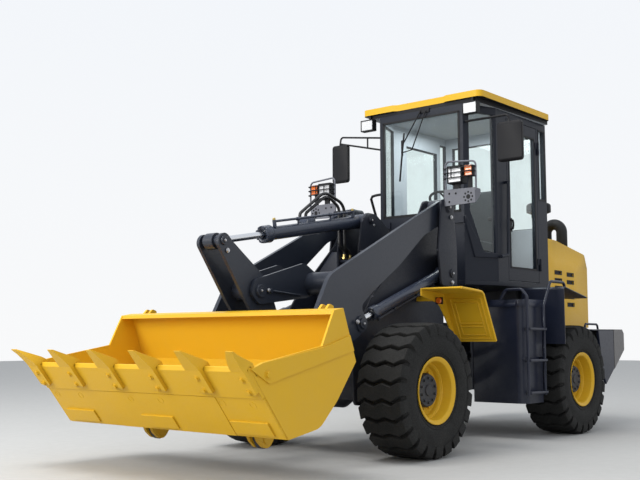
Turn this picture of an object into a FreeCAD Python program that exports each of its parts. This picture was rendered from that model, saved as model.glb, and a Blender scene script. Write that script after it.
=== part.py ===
"""Articulated wheel loader with a Z-bar bucket linkage, as a parametric document.

Millimetres. X points to the bucket, Y to the driver's left, Z up, and the wheels stand on Z = 0.
Every piece is drawn about the articulation pivot and placed at pivot_x, so that the frame's
origin lies on the ground under the middle of the machine's box.
"""
import FreeCAD
import Part
import math
import os

import Sketcher
from FreeCAD import Placement, Rotation, Vector

doc = FreeCAD.newDocument("WheelLoader")
sheet = doc.addObject("Spreadsheet::Sheet", "Sizes")
nodes = []


# Sizes that carry their own sheet expression

class Size:
    """A number together with the sheet expression that gives it."""

    def __init__(self, value, text):
        self.value = float(value)
        self.text = text

    def __add__(self, other):
        other = as_size(other)
        return Size(self.value + other.value, "(%s + %s)" % (self.text, other.text))

    def __sub__(self, other):
        other = as_size(other)
        return Size(self.value - other.value, "(%s - %s)" % (self.text, other.text))

    def __mul__(self, other):
        other = as_size(other)
        return Size(self.value * other.value, "(%s * %s)" % (self.text, other.text))

    def __truediv__(self, other):
        other = as_size(other)
        return Size(self.value / other.value, "(%s / %s)" % (self.text, other.text))

    def __neg__(self):
        return Size(-self.value, "(0 - %s)" % self.text)

    def __rsub__(self, other):
        return as_size(other) - self

    __radd__ = __add__
    __rmul__ = __mul__


def as_size(number):
    if isinstance(number, Size):
        return number
    return Size(number, "(%r)" % float(number))


row = 1


class Sizes:
    """The sheet's sizes by name."""


S = Sizes()


def cell(name, value):
    """Write one driving number into the sheet under its own name."""
    global row
    sheet.set("A%d" % row, name)
    sheet.set("B%d" % row, repr(float(value)))
    sheet.setAlias("B%d" % row, name)
    row += 1
    size = Size(value, "Sizes." + name)
    setattr(S, name, size)
    return size


def named(name, value):
    """A size as it is, or a plain number under a name of its own in the sheet."""
    return value if isinstance(value, Size) else cell(name, value)


# Name and value in mm
SIZES = {
    "pivot_x": -460.0,
    "running_gap": 0.3,
    "pin_gap": 0.08,
    "moving_gap": 6.0,
    # Wheels and axles
    "axle_x": 1262.5,
    "wheel_y": 807.5,
    "tyre_radius": 513.0,
    "tyre_half_width": 202.5,
    "tread_half_width": 172.0,
    "shoulder_radius": 470.0,
    "bead_radius": 229.0,
    "bead_half_width": 158.0,
    "flange_radius": 254.0,
    "flange_thickness": 10.0,
    "rim_wall": 12.0,
    "rim_disc_thickness": 20.0,
    "rim_disc_place": 30.0,
    "hub_radius": 130.0,
    "hub_face_place": 105.0,
    "hub_back_place": -62.0,
    "axle_end_y": 745.2,
    "axle_tube_radius": 72.0,
    "axle_end_radius": 122.0,
    "differential_radius": 165.0,
    "axle_pad_half": 85.0,
    "axle_pad_top": 600.0,
    # Boom, bucket and linkage pivots, in the side view
    "boom_pivot_x": 440.0,
    "boom_pivot_z": 2025.0,
    "lift_base_x": 400.0,
    "lift_base_z": 1458.0,
    "lift_eye_x": 1615.0,
    "lift_eye_z": 1018.0,
    "cross_tube_x": 1720.0,
    "cross_tube_z": 1330.0,
    "crank_pivot_x": 2304.0,
    "crank_pivot_z": 1256.0,
    "tilt_eye_x": 2650.0,
    "tilt_eye_z": 1605.0,
    "tilt_base_x": 921.0,
    "tilt_base_z": 1906.0,
    "link_top_x": 2016.0,
    "link_top_z": 782.0,
    "link_foot_run": -164.0,
    "link_foot_rise": 190.0,
    "hinge_x": 2690.0,
    "hinge_z": 240.0,
    # Boom arms
    "arm_inner_y": 509.0,
    "arm_thickness": 36.0,
    "boss_radius": 74.0,
    "pin_radius": 32.0,
    "pin_head_radius": 50.0,
    "pin_head_height": 8.0,
    "cross_tube_radius": 90.0,
    # Tower
    "tower_plate_y": 396.0,
    "tower_plate": 24.0,
    "cheek_y": 578.0,
    "cheek_plate": 22.0,
    "pedestal_plate_y": 100.0,
    "pedestal_plate": 25.0,
    "pedestal_front_x": 1076.0,
    "tower_wall_x": 560.0,
    "tower_wall_plate": 22.0,
    "tower_wall_top_z": 1790.0,
    "tower_deck_foot_z": 1068.0,
    "tower_deck_top_z": 1092.0,
    "tower_rear_x": 318.0,
    "tower_foot_z": 432.0,
    # Bellcrank
    "crank_plate_y": 85.0,
    "crank_plate": 28.0,
    "crank_bracket_y": 119.0,
    "crank_bracket": 25.0,
    "crank_hub_radius": 70.0,
    # Link
    "link_half_width": 46.0,
    "link_bar_half": 26.0,
    "link_eye_radius": 52.0,
    # Hydraulic cylinders
    "lift_plane_y": 480.0,
    "lift_barrel_radius": 45.0,
    "lift_gland_radius": 54.0,
    "lift_rod_radius": 25.0,
    "lift_eye_radius": 58.0,
    "lift_eye_half": 24.0,
    "lift_rod_showing": 226.2171,
    "lift_rod_length": 1180.0,
    "tilt_barrel_radius": 52.5,
    "tilt_gland_radius": 68.0,
    "tilt_rod_radius": 25.5,
    "tilt_eye_radius": 60.0,
    "tilt_eye_half": 70.0,
    "tilt_base_half": 94.0,
    "hose_radius": 13.0,
    "hose_plane_y": -72.0,
    "hose_port_place": 600.0,
    "hose_port_length": 100.0,
    "hose_port_height": 82.0,
    "manifold_top_z": 1570.0,
    "tilt_rod_showing": 527.0048,
    "tilt_rod_length": 1200.0,
    "steer_barrel_radius": 32.0,
    "steer_gland_radius": 38.0,
    "steer_rod_radius": 17.0,
    "steer_eye_radius": 36.0,
    "steer_eye_half": 22.0,
    "steer_base_x": -620.0,
    "steer_base_y": 190.0,
    "steer_eye_x": 150.0,
    "steer_eye_y": 290.0,
    "steer_z": 740.0,
    "steer_rod_showing": 276.4664,
    "steer_rod_length": 515.0,
    "gland_length": 70.0,
    "bore_start": 66.0,
    # Bucket
    "bucket_half_width": 1094.0,
    "bucket_side_plate": 16.0,
    "bucket_band": 10.0,
    "lifting_eye_inset": 232.0,
    "lifting_eye_spacing": 60.0,
    "bucket_shell": 14.0,
    "wear_strip_margin": 28.0,
    "wear_strip": 14.0,
    "tooth_inner_y": 216.0,
    "tooth_middle_y": 647.0,
    "ear_plate": 25.0,
    "edge_plate": 22.0,
    "tooth_width": 70.0,
    # Cab
    "cab_front_x": -30.0,
    "cab_front_half": 470.0,
    "cab_front_plate": 38.0,
    "cab_shoulder_x": -400.0,
    "cab_half": 600.0,
    "cab_rear_x": -1400.0,
    "windshield_half": 425.0,
    "windshield_foot_z": 2060.0,
    "window_top_drop": 70.0,
    "side_window_foot_z": 1690.0,
    "side_window_front_x": -614.0,
    "side_window_rear_x": -1182.0,
    "quarter_front_x": -1242.0,
    "quarter_rear_x": -1370.0,
    "quarter_foot_z": 2274.0,
    "rear_window_half": 480.0,
    "rear_window_foot_z": 2000.0,
    "corner_band": 14.0,
    "grab_tube_radius": 14.0,
    "grab_tube_y": 640.0,
    "cab_floor_z": 1385.0,
    "cab_floor_plate": 40.0,
    "cab_wall": 40.0,
    "cab_eaves_z": 3050.0,
    "roof_liner": 37.0,
    "roof_plate": 60.0,
    "roof_half": 670.0,
    "roof_front_x": -11.0,
    "roof_rear_x": -1392.0,
    "glass_thickness": 6.0,
    "door_front_x": -590.0,
    "door_rear_x": -1200.0,
    "door_sill_z": 1440.0,
    "door_top_drop": 65.0,
    "door_window_drop": 115.0,
    "door_window_foot_z": 1567.0,
    "door_window_front_x": -640.0,
    "door_window_rear_x": -1150.0,
    "door_gap": 5.5,
    "door_hinge_x": -1215.0,
    "door_hinge_y": 611.0,
    "knuckle_radius": 10.5,
    "knuckle_low_rise": 180.0,
    "knuckle_high_drop": 205.0,
    # Hood, engine and counterweight
    "hood_half": 500.0,
    "hood_skin": 8.0,
    "tail_x": -2640.0,
    "hood_hinge_x": -2480.0,
    "hood_hinge_z": 1040.0,
    "hood_lug_y": 306.0,
    "hood_pin_radius": 8.0,
    "weight_top_z": 992.0,
    "weight_foot_z": 430.0,
    "tank_top_z": 1252.0,
    "tank_cap": 64.0,
    # Rear frame
    "rail_y": 315.0,
    "rail_plate": 25.0,
    "hinge_plate": 30.0,
    "hinge_upper_z": 960.0,
    "hinge_lower_z": 500.0,
    "hinge_pin_radius": 30.0,
    "hinge_nose_radius": 95.0,
}
for size_name, size_value in SIZES.items():
    cell(size_name, size_value)
S.link_foot_x = S.hinge_x + S.link_foot_run
S.link_foot_z = S.hinge_z + S.link_foot_rise
S.roof_foot_z = S.cab_eaves_z + S.roof_liner
S.roof_top_z = S.roof_foot_z + S.roof_plate
S.window_top_z = S.cab_eaves_z - S.window_top_drop
S.door_top_z = S.cab_eaves_z - S.door_top_drop
S.door_window_top_z = S.door_top_z - S.door_window_drop


def pivot(name):
    return getattr(S, name + "_x"), getattr(S, name + "_z")


def corners(piece, rows):
    """Corners of one outline. Columns: name, pivot, run, rise, corner radius."""
    result = []
    for name, origin, run, rise, radius in rows:
        prefix = "%s_%s" % (piece, name)
        x = cell(prefix + "_run", run)
        z = cell(prefix + "_rise", rise)
        if origin:
            x = pivot(origin)[0] + x
            z = pivot(origin)[1] + z
        result.append((x, z, cell(prefix + "_round", radius) if radius else None))
    return result


# Sketches and features bound to the sheet

def bind(item, prop, size):
    item.setExpression(prop, as_size(size).text)


def rounded(points):
    """Tangent points and arc centres of an outline with rounded corners."""
    count = len(points)
    result = []
    for i in range(count):
        here = Vector(points[i][0].value, points[i][1].value, 0)
        radius = points[i][2].value if points[i][2] is not None else 0.0
        if not radius:
            result.append((here, here, None))
            continue
        before = Vector(points[i - 1][0].value, points[i - 1][1].value, 0) - here
        after = Vector(points[(i + 1) % count][0].value, points[(i + 1) % count][1].value, 0) - here
        before.normalize()
        after.normalize()
        half = before.getAngle(after) / 2
        reach = radius / math.tan(half)
        middle = before + after
        middle.normalize()
        centre = here + middle * (radius / math.sin(half))
        result.append((here + before * reach, here + after * reach, centre))
    return result


def draw_outline(sketch, points):
    """One closed outline, each corner at sizes of the sheet, with its own radius."""
    points = [(as_size(x), as_size(z), None if r is None else as_size(r)) for x, z, r in points]
    count = len(points)
    stations = rounded(points)
    lines = []
    for i in range(count):
        start = stations[i][1]
        end = stations[(i + 1) % count][0]
        lines.append(sketch.addGeometry(Part.LineSegment(start, end), False))
    constraints = []
    bound = []
    for i in range(count):
        x, z, radius = points[i]
        before = lines[i - 1]
        after = lines[i]
        if radius is None:
            constraints.append(Sketcher.Constraint("Coincident", before, 2, after, 1))
            spot = (after, 1)
        else:
            first, last, centre = stations[i]
            turn = (first - centre).cross(last - centre).z
            begin, finish = (first, last) if turn > 0 else (last, first)
            circle = Part.Circle(centre, Vector(0, 0, 1), radius.value)
            angle_1 = math.atan2(begin.y - centre.y, begin.x - centre.x)
            angle_2 = math.atan2(finish.y - centre.y, finish.x - centre.x)
            arc = sketch.addGeometry(Part.ArcOfCircle(circle, angle_1, angle_2), False)
            entry, leave = (1, 2) if turn > 0 else (2, 1)
            point = sketch.addGeometry(Part.Point(Vector(x.value, z.value, 0)), True)
            constraints.append(Sketcher.Constraint("Tangent", before, 2, arc, entry))
            constraints.append(Sketcher.Constraint("Tangent", arc, leave, after, 1))
            constraints.append(Sketcher.Constraint("PointOnObject", point, 1, before))
            constraints.append(Sketcher.Constraint("PointOnObject", point, 1, after))
            bound.append((len(constraints), radius))
            constraints.append(Sketcher.Constraint("Radius", arc, radius.value))
            spot = (point, 1)
        bound.append((len(constraints), x))
        constraints.append(Sketcher.Constraint("DistanceX", -1, 1, spot[0], spot[1], x.value))
        bound.append((len(constraints), z))
        constraints.append(Sketcher.Constraint("DistanceY", -1, 1, spot[0], spot[1], z.value))
    add_bound(sketch, constraints, bound)


def draw_circle(sketch, x, z, radius):
    x, z, radius = as_size(x), as_size(z), as_size(radius)
    middle = Vector(x.value, z.value, 0)
    circle = sketch.addGeometry(Part.Circle(middle, Vector(0, 0, 1), radius.value), False)
    constraints = [
        Sketcher.Constraint("DistanceX", -1, 1, circle, 3, x.value),
        Sketcher.Constraint("DistanceY", -1, 1, circle, 3, z.value),
        Sketcher.Constraint("Radius", circle, radius.value),
    ]
    add_bound(sketch, constraints, [(0, x), (1, z), (2, radius)])


def add_bound(sketch, constraints, bound):
    first = len(sketch.Constraints)
    sketch.addConstraint(constraints)
    for index, size in bound:
        if "Sizes." in size.text:
            sketch.setExpression("Constraints[%d]" % (first + index), size.text)


def new_body(name):
    body = doc.addObject("PartDesign::Body", name)
    body.Label = name
    return body


def new_sketch(body, plane, offset):
    offset = as_size(offset)
    sketch = body.newObject("Sketcher::SketchObject", body.Name + "Sketch")
    support = [item for item in body.Origin.OriginFeatures if item.Role == plane][0]
    sketch.AttachmentSupport = [(support, "")]
    sketch.MapMode = "FlatFace"
    sketch.AttachmentOffset = Placement(Vector(0, 0, offset.value), Rotation())
    bind(sketch, "AttachmentOffset.Base.z", offset)
    return sketch


def plate(name, plane, low, thickness, points, holes=()):
    """A flat plate. Its low face is at the lower coordinate along the plane's normal."""
    low, thickness = named(name + "_low", low), named(name + "_thickness", thickness)
    body = new_body(name)
    offset = -(low + thickness) if plane == "XZ_Plane" else low
    sketch = new_sketch(body, plane, offset)
    draw_outline(sketch, points)
    for x, z, radius in holes:
        draw_circle(sketch, x, z, radius)
    pad = body.newObject("PartDesign::Pad", name + "Pad")
    pad.Profile = sketch
    pad.Length = thickness.value
    bind(pad, "Length", thickness)
    return body


def block(name, x_low, x_high, y_low, y_high, z_low, z_high):
    """A box from six places."""
    box = doc.addObject("Part::Box", name)
    sides = (("Length", x_low, x_high, "x"), ("Width", y_low, y_high, "y"),
             ("Height", z_low, z_high, "z"))
    for prop, low, high, letter in sides:
        low = named("%s_%s_low" % (name, letter), low)
        high = named("%s_%s_high" % (name, letter), high)
        setattr(box, prop, (high - low).value)
        bind(box, prop, high - low)
        bind(box, "Placement.Base." + letter, low)
    return box


AXIS_TURN = {
    "x": Rotation(Vector(0, 1, 0), 90),
    "y": Rotation(Vector(1, 0, 0), -90),
    "z": Rotation(),
}


def rod(name, axis, x, y, z, radius, length):
    """A round bar that starts at a place and runs along one axis."""
    bar = doc.addObject("Part::Cylinder", name)
    radius = named(name + "_radius", radius)
    length = named(name + "_length", length)
    bar.Radius = radius.value
    bar.Height = length.value
    bind(bar, "Radius", radius)
    bind(bar, "Height", length)
    bar.Placement = Placement(Vector(), AXIS_TURN[axis])
    for letter, place in (("x", x), ("y", y), ("z", z)):
        bind(bar, "Placement.Base." + letter, place)
    return bar


def pin_y(name, place, y_low, y_high, radius):
    """A pin along Y at a pivot of the side view."""
    x, z = pivot(place)
    y_low, y_high = named(name + "_y_low", y_low), named(name + "_y_high", y_high)
    return rod(name, "y", x, y_low, z, radius, y_high - y_low)


def turned(name, points, axis):
    """A body turned about its own X axis ("H_Axis") or Y axis ("V_Axis")."""
    body = new_body(name)
    sketch = new_sketch(body, "XY_Plane", 0)
    draw_outline(sketch, points)
    turn = body.newObject("PartDesign::Revolution", name + "Turn")
    turn.Profile = sketch
    turn.ReferenceAxis = (sketch, [axis])
    turn.Angle = 360
    return body


def tube(name, plane, offset, points, radius):
    """A round tube bent in one plane along straight runs and arcs."""
    body = new_body(name)
    path = new_sketch(body, plane, offset)
    points = [(as_size(x), as_size(z), None if r is None else as_size(r)) for x, z, r in points]
    runs = draw_route(path, points)
    ring = body.newObject("Sketcher::SketchObject", name + "Ring")
    ring.AttachmentSupport = [(path, "Edge1")]
    ring.MapMode = "NormalToEdge"
    ring.MapPathParameter = 0.0
    draw_circle(ring, 0, 0, radius)
    pipe = body.newObject("PartDesign::AdditivePipe", name + "Pipe")
    pipe.Profile = ring
    pipe.Spine = (path, ["Edge%d" % (i + 1) for i in range(runs)])
    return body


def draw_route(sketch, points):
    """One open route, each inner corner with its own radius; gives the number of its edges."""
    stations = rounded(points)
    last = len(points) - 1
    stations[0] = (stations[0][0], Vector(points[0][0].value, points[0][1].value, 0), None)
    bound = []
    constraints = []
    before = None
    edges = 0
    for i in range(last):
        line = sketch.addGeometry(Part.LineSegment(stations[i][1], stations[i + 1][0]), False)
        edges += 1
        if before is None:
            fix_point(constraints, bound, (line, 1), points[0])
        else:
            x, z, radius = points[i]
            first, second, centre = stations[i]
            turn = (first - centre).cross(second - centre).z
            begin, finish = (first, second) if turn > 0 else (second, first)
            circle = Part.Circle(centre, Vector(0, 0, 1), radius.value)
            arc = sketch.addGeometry(Part.ArcOfCircle(
                circle, math.atan2(begin.y - centre.y, begin.x - centre.x),
                math.atan2(finish.y - centre.y, finish.x - centre.x)), False)
            edges += 1
            entry, leave = (1, 2) if turn > 0 else (2, 1)
            point = sketch.addGeometry(Part.Point(Vector(x.value, z.value, 0)), True)
            constraints.append(Sketcher.Constraint("Tangent", before, 2, arc, entry))
            constraints.append(Sketcher.Constraint("Tangent", arc, leave, line, 1))
            constraints.append(Sketcher.Constraint("PointOnObject", point, 1, before))
            constraints.append(Sketcher.Constraint("PointOnObject", point, 1, line))
            bound.append((len(constraints), radius))
            constraints.append(Sketcher.Constraint("Radius", arc, radius.value))
            fix_point(constraints, bound, (point, 1), points[i])
        before = line
    fix_point(constraints, bound, (before, 2), points[last])
    add_bound(sketch, constraints, bound)
    return edges


def fix_point(constraints, bound, spot, place):
    for kind, size in (("DistanceX", place[0]), ("DistanceY", place[1])):
        bound.append((len(constraints), size))
        constraints.append(Sketcher.Constraint(kind, -1, 1, spot[0], spot[1], size.value))


def mirrored(item):
    copy = doc.addObject("Part::Mirroring", item.Name + "Right")
    copy.Source = item
    copy.Normal = Vector(0, 1, 0)
    return copy


def both(items):
    return list(items) + [mirrored(item) for item in items]


def fused(name, pieces):
    if len(pieces) == 1:
        return pieces[0]
    result = doc.addObject("Part::MultiFuse", name)
    result.Shapes = list(pieces)
    return result


def cut_away(name, base, cutters):
    cut = doc.addObject("Part::Cut", name)
    cut.Base = base
    cut.Tool = fused(name + "Cutters", cutters)
    return cut


def node(name, item, x=0, y=None, z=None):
    """Name a finished piece and place it about the articulation pivot."""
    item.Label = name
    bind(item, "Placement.Base.x", S.pivot_x + x)
    if y is not None:
        bind(item, "Placement.Base.y", y)
    if z is not None:
        bind(item, "Placement.Base.z", z)
    nodes.append((name, item))
    return item


def weld(name, pieces, cutters=()):
    """One node: its pieces welded together, then the cutters taken away."""
    if cutters:
        return node(name, cut_away(name, fused(name + "Weld", pieces), cutters))
    return node(name, fused(name, pieces))


def framework(name, pieces):
    """One node of plates that meet face to face, each kept as its own solid."""
    group = doc.addObject("Part::Compound", name)
    group.Links = list(pieces)
    return node(name, group)


SIDES = (("left", 1), ("right", -1))


# Wheels: tyre, rim and hub, turned about the axle

def tyre_outline():
    edge = S.bead_half_width
    wide = S.tyre_half_width
    tread = S.tread_half_width
    half = (
        (S.bead_radius, edge, None),
        (S.flange_radius + 8, edge + 22, 10),
        (S.shoulder_radius - 120, wide, 60),
        (S.shoulder_radius - 30, wide, 20),
        (S.shoulder_radius, tread + 8, None),
        (S.tyre_radius, tread, None),
    )
    lower = [(r, -place, bend) for r, place, bend in half]
    return lower + list(half[::-1])


def rim_outline():
    """The rim's section from its inner flange over the bead seat, with the disc inside."""
    seat = S.bead_radius - S.running_gap
    edge = S.bead_half_width + S.running_gap
    inner = seat - S.rim_wall
    disc = S.rim_disc_place
    return (
        (seat, -edge, None),
        (S.flange_radius, -edge - 22, None),
        (S.flange_radius, -edge - 22 - S.flange_thickness, None),
        (inner, -edge - 12, None),
        (inner - 6, disc, None),
        (S.hub_radius - 22, disc, None),
        (S.hub_radius - 22, disc + S.rim_disc_thickness, None),
        (inner - 24, disc + S.rim_disc_thickness, 10),
        (inner - 20, S.bead_half_width - 70, None),
        (inner, S.bead_half_width - 56, None),
        (inner, edge + 12, None),
        (S.flange_radius, edge + 22 + S.flange_thickness, None),
        (S.flange_radius, edge + 22, None),
        (seat, edge, None),
    )


def hub_outline():
    disc_face = S.rim_disc_place + S.rim_disc_thickness
    spigot = S.hub_radius - 22
    return (
        (0, S.hub_back_place, None),
        (spigot - 10, S.hub_back_place, None),
        (spigot, S.hub_back_place + 14, None),
        (spigot, disc_face, None),
        (S.hub_radius, disc_face, None),
        (S.hub_radius, S.hub_face_place - 20, None),
        (S.hub_radius - 10, S.hub_face_place, None),
        (0, S.hub_face_place, None),
    )


ENDS = (("front", 1), ("rear", -1))
for end, direction in ENDS:
    for side, sign in SIDES:
        for piece, outline in (("tyre", tyre_outline), ("rim", rim_outline), ("hub", hub_outline)):
            wheel_part = turned("%s_%s_%s" % (piece, end, side), outline(), "V_Axis")
            if sign < 0:
                wheel_part.Placement = Placement(Vector(), Rotation(Vector(0, 0, 1), 180))
            node(wheel_part.Name, wheel_part, S.axle_x * direction, S.wheel_y * sign, S.tyre_radius)


# Axles: housing with differential and end reductions, and pads under the frame

def axle_outline():
    half = (
        (S.differential_radius, 90),
        (S.axle_tube_radius, 230),
        (S.axle_tube_radius, S.axle_end_y - 150),
        (S.axle_end_radius, S.axle_end_y - 110),
        (S.axle_end_radius, S.axle_end_y - 20),
        (S.axle_end_radius - 16, S.axle_end_y),
        (0, S.axle_end_y),
    )
    lower = [(radius, -as_size(place), None) for radius, place in half[::-1]]
    return lower + [(radius, place, None) for radius, place in half]


for end, direction in ENDS:
    housing = turned(end + "_axle_housing", axle_outline(), "V_Axis")
    bind(housing, "Placement.Base.z", S.tyre_radius)
    pad_y = S.rail_y - 20 if direction < 0 else S.tower_plate_y - 20
    pad = block(end + "_axle_pad", -S.axle_pad_half, S.axle_pad_half, pad_y, pad_y + 64,
                S.tyre_radius - 60, S.axle_pad_top)
    node(end + "_axle", fused(end + "_axle", [housing] + both([pad])), S.axle_x * direction)


# Front frame: tower plates, cheeks, pedestal for the tilt cylinder and hinge plates

tower_points = corners("tower", (
    ("crown_rear", "boom_pivot", -110, 65, 40),
    ("crown_front", "boom_pivot", 100, 65, 60),
    ("brow", "", 760, 1730, 120),
    ("chest", "", 1290, 1240, 140),
    ("nose_top", "", 1560, 900, 60),
    ("nose_foot", "", 1530, 390, 40),
    ("notch_front", "", 1355, 390, 0),
    ("notch_front_top", "", 1355, 600, 0),
    ("notch_rear_top", "", 1170, 600, 0),
    ("notch_rear", "", 1170, 390, 0),
    ("belly", "", 700, 430, 60),
    ("heel", "", 265, 430, 30),
    ("back", "", 265, 1250, 60),
))
tower_plate = plate("TowerPlate", "XZ_Plane", S.tower_plate_y, S.tower_plate, tower_points)
tower_outer = S.tower_plate_y + S.tower_plate
cheek_points = corners("cheek", (
    ("crown_rear", "boom_pivot", -75, 65, 40),
    ("crown_front", "boom_pivot", 100, 65, 50),
    ("waist_front", "", 606, 1650, 80),
    ("foot_front", "", 560, 1350, 30),
    ("foot_rear", "", 318, 1350, 0),
    ("waist_rear", "", 318, 1660, 60),
))
cheek_plate = plate("CheekPlate", "XZ_Plane", S.cheek_y, S.cheek_plate, cheek_points)
cheek_outer = S.cheek_y + S.cheek_plate
boom_pin_head = pin_y("BoomPinHead", "boom_pivot", cheek_outer, cheek_outer + S.pin_head_height,
                      S.pin_head_radius)
lift_pin_end = pin_y("LiftPinEnd", "lift_base", cheek_outer, cheek_outer + 6, S.pin_radius - 6)
cheek = fused("Cheek", [cheek_plate, boom_pin_head, lift_pin_end])
cheek_shelf_top = cell("cheek_shelf_top", 1372)
cheek_shelf = block("CheekShelf", S.tower_rear_x, 420, tower_outer, S.cheek_y, 1350, cheek_shelf_top)
cheek_web = block("CheekWeb", S.tower_rear_x, 336, tower_outer, S.cheek_y, cheek_shelf_top, 1640)
boom_pin = pin_y("BoomPin", "boom_pivot", tower_outer, S.cheek_y, S.pin_radius)
lift_pin = pin_y("LiftPin", "lift_base", tower_outer, S.cheek_y, S.pin_radius - 6)
framework("tower_cheeks", both([cheek, cheek_web, cheek_shelf, boom_pin, lift_pin]))

wall_front_x = S.tower_wall_x + S.tower_wall_plate
pedestal = plate("Pedestal", "XZ_Plane", S.pedestal_plate_y, S.pedestal_plate,
                 corners("pedestal", (
                     ("crown_rear", "tilt_base", -75, 58, 50),
                     ("crown_front", "tilt_base", 50, 62, 45),
                     ("brow", "tilt_base", 114, -9, 60),
                 )) + [
    (cell("pedestal_neck_x", 1065), cell("pedestal_neck_z", 1714), None),
    (S.pedestal_front_x, cell("pedestal_knee_z", 1645), None),
    (S.pedestal_front_x, S.tower_deck_top_z, None),
    (wall_front_x, S.tower_deck_top_z, None),
    (wall_front_x, S.tower_wall_top_z, None),
])
pedestal_outer = S.pedestal_plate_y + S.pedestal_plate
gusset_plate = cell("gusset_plate", 12)
gusset = plate("Gusset", "YZ_Plane", S.pedestal_front_x - gusset_plate, gusset_plate, [
    (pedestal_outer, S.tower_deck_top_z, None),
    (cell("gusset_foot_y", 344), S.tower_deck_top_z, None),
    (cell("gusset_waist_y", 344), cell("gusset_waist_z", 1452), None),
    (cell("gusset_crown_y", 178), cell("gusset_crown_z", 1640), None),
    (pedestal_outer, cell("gusset_top_z", 1640), None),
])
tilt_pin = pin_y("TiltPin", "tilt_base", -S.pedestal_plate_y, S.pedestal_plate_y, S.pin_radius - 4)
tilt_pin_head = pin_y("TiltPinHead", "tilt_base", pedestal_outer, pedestal_outer + S.pin_head_height,
                      S.pin_radius)
tower_wall = block("TowerWall", S.tower_wall_x, wall_front_x, -S.tower_plate_y, S.tower_plate_y,
                   S.tower_deck_top_z, S.tower_wall_top_z)
manifold = block("HoseManifold", 930, 1060, -S.pedestal_plate_y, S.pedestal_plate_y,
                 S.manifold_top_z - 30, S.manifold_top_z)
framework("tilt_pedestal", both([pedestal, gusset, tilt_pin_head]) + [tilt_pin, tower_wall, manifold])

deck = block("TowerDeck", 300, 1330, -S.tower_plate_y, S.tower_plate_y, S.tower_deck_foot_z,
             S.tower_deck_top_z)
front_wall = block("FrontWall", 1470, 1492, -S.tower_plate_y, S.tower_plate_y, 430, 900)
rear_wall_front = S.tower_rear_x + 24
rear_wall = block("RearWall", S.tower_rear_x, rear_wall_front, -S.tower_plate_y, S.tower_plate_y,
                  S.tower_foot_z, S.tower_deck_foot_z)
belly_plate = block("BellyPlate", rear_wall_front, 1080, -S.tower_plate_y, S.tower_plate_y,
                    S.tower_foot_z, S.tower_foot_z + 18)


def hinge_points(tail_x, tail_half):
    """A horizontal hinge plate whose rounded nose surrounds the articulation pin."""
    nose = S.hinge_nose_radius
    reach = -nose if tail_x.value > 0 else nose
    return (
        (reach, -nose, nose - 1),
        (reach, nose, nose - 1),
        (tail_x, tail_half, None),
        (tail_x, -tail_half, None),
    )


front_plates = []
for level, place in (("Upper", S.hinge_upper_z), ("Lower", S.hinge_lower_z)):
    front_plates.append(plate(
        "FrontHinge" + level, "XY_Plane", place, S.hinge_plate, hinge_points(S.tower_rear_x, 300),
        ((0, 0, S.hinge_pin_radius + S.pin_gap),)))
steer_lugs = []
for level, z_low in (("Upper", S.steer_z + S.steer_eye_half + S.moving_gap),
                     ("Lower", S.steer_z - S.steer_eye_half - S.moving_gap - 20)):
    steer_lugs.append(plate("SteerLug" + level, "XY_Plane", z_low, 20, (
        (S.steer_eye_x - 45, S.steer_eye_y - 45, 40),
        (S.tower_rear_x, S.steer_eye_y - 80, None),
        (S.tower_rear_x, S.steer_eye_y + 60, None),
        (S.steer_eye_x - 45, S.steer_eye_y + 45, 40),
    )))
framework("front_chassis", both([tower_plate] + steer_lugs)
          + [deck, front_wall, rear_wall, belly_plate] + front_plates)


# Front fenders over the front wheels, carried by the tower plates

fender_sheet = plate("FenderSheet", "XZ_Plane", 620, 380, corners("fender", (
    ("lip_front", "", 907, 1312, 0),
    ("crest", "", 565, 1287, 60),
    ("tail", "", 365, 886, 0),
    ("tail_inside", "", 378, 880, 0),
    ("crest_inside", "", 574, 1275, 48),
    ("lip_front_inside", "", 907, 1299, 0),
)))
fender_cheek = plate("FenderCheek", "XZ_Plane", 612, 12, corners("fender_cheek", (
    ("lip", "", 907, 1312, 0),
    ("crest", "", 565, 1287, 60),
    ("tail", "", 365, 886, 0),
    ("inside_tail", "", 420, 905, 0),
    ("inside_crest", "", 640, 1190, 150),
    ("inside_lip", "", 907, 1250, 0),
)))
fender_arm = block("FenderArm", 620, 680, tower_outer, 622, 1215, 1260)
weld("front_fenders", both([fender_sheet, fender_cheek, fender_arm]))


# Headlamps on brackets beside the tower, with their guards

lamp_plate = plate("LampPlate", "YZ_Plane", 494, 12, corners("lamp_plate", (
    ("foot_inner", "", 600, 2027, 0),
    ("foot_outer", "", 902, 2035, 0),
    ("head_outer", "", 902, 2163, 0),
    ("head_inner", "", 600, 2168, 0),
)))
lamp_wing = plate("LampWing", "XZ_Plane", 890, 12, corners("lamp_wing", (
    ("tip_top", "", 412, 2160, 12),
    ("tip_foot", "", 412, 2114, 12),
    ("root_foot", "", 500, 2035, 0),
    ("root_top", "", 500, 2163, 0),
)))
guard = tube("Guard", "YZ_Plane", 498, corners("guard", (
    ("foot_inner", "", 611, 2150, 0),
    ("head_inner", "", 611, 2411, 40),
    ("head_outer", "", 909, 2388, 40),
    ("foot_outer", "", 909, 2140, 0),
)), 8)
weld("lamp_brackets", both([lamp_plate, lamp_wing, guard]))
lamp_box = block("LampBox", 440, 520, 645, 789, 2212, 2364)
lamp_foot = block("LampFoot", 470, 494, 690, 740, 2150, 2230)
amber_box = block("AmberBox", 450, 515, 806, 886, 2263, 2358)
amber_foot = block("AmberFoot", 470, 494, 830, 862, 2150, 2275)
weld("headlamps", both([lamp_box, lamp_foot, amber_box, amber_foot]))


# Boom: two arms, cross tube and bellcrank brackets

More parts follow.
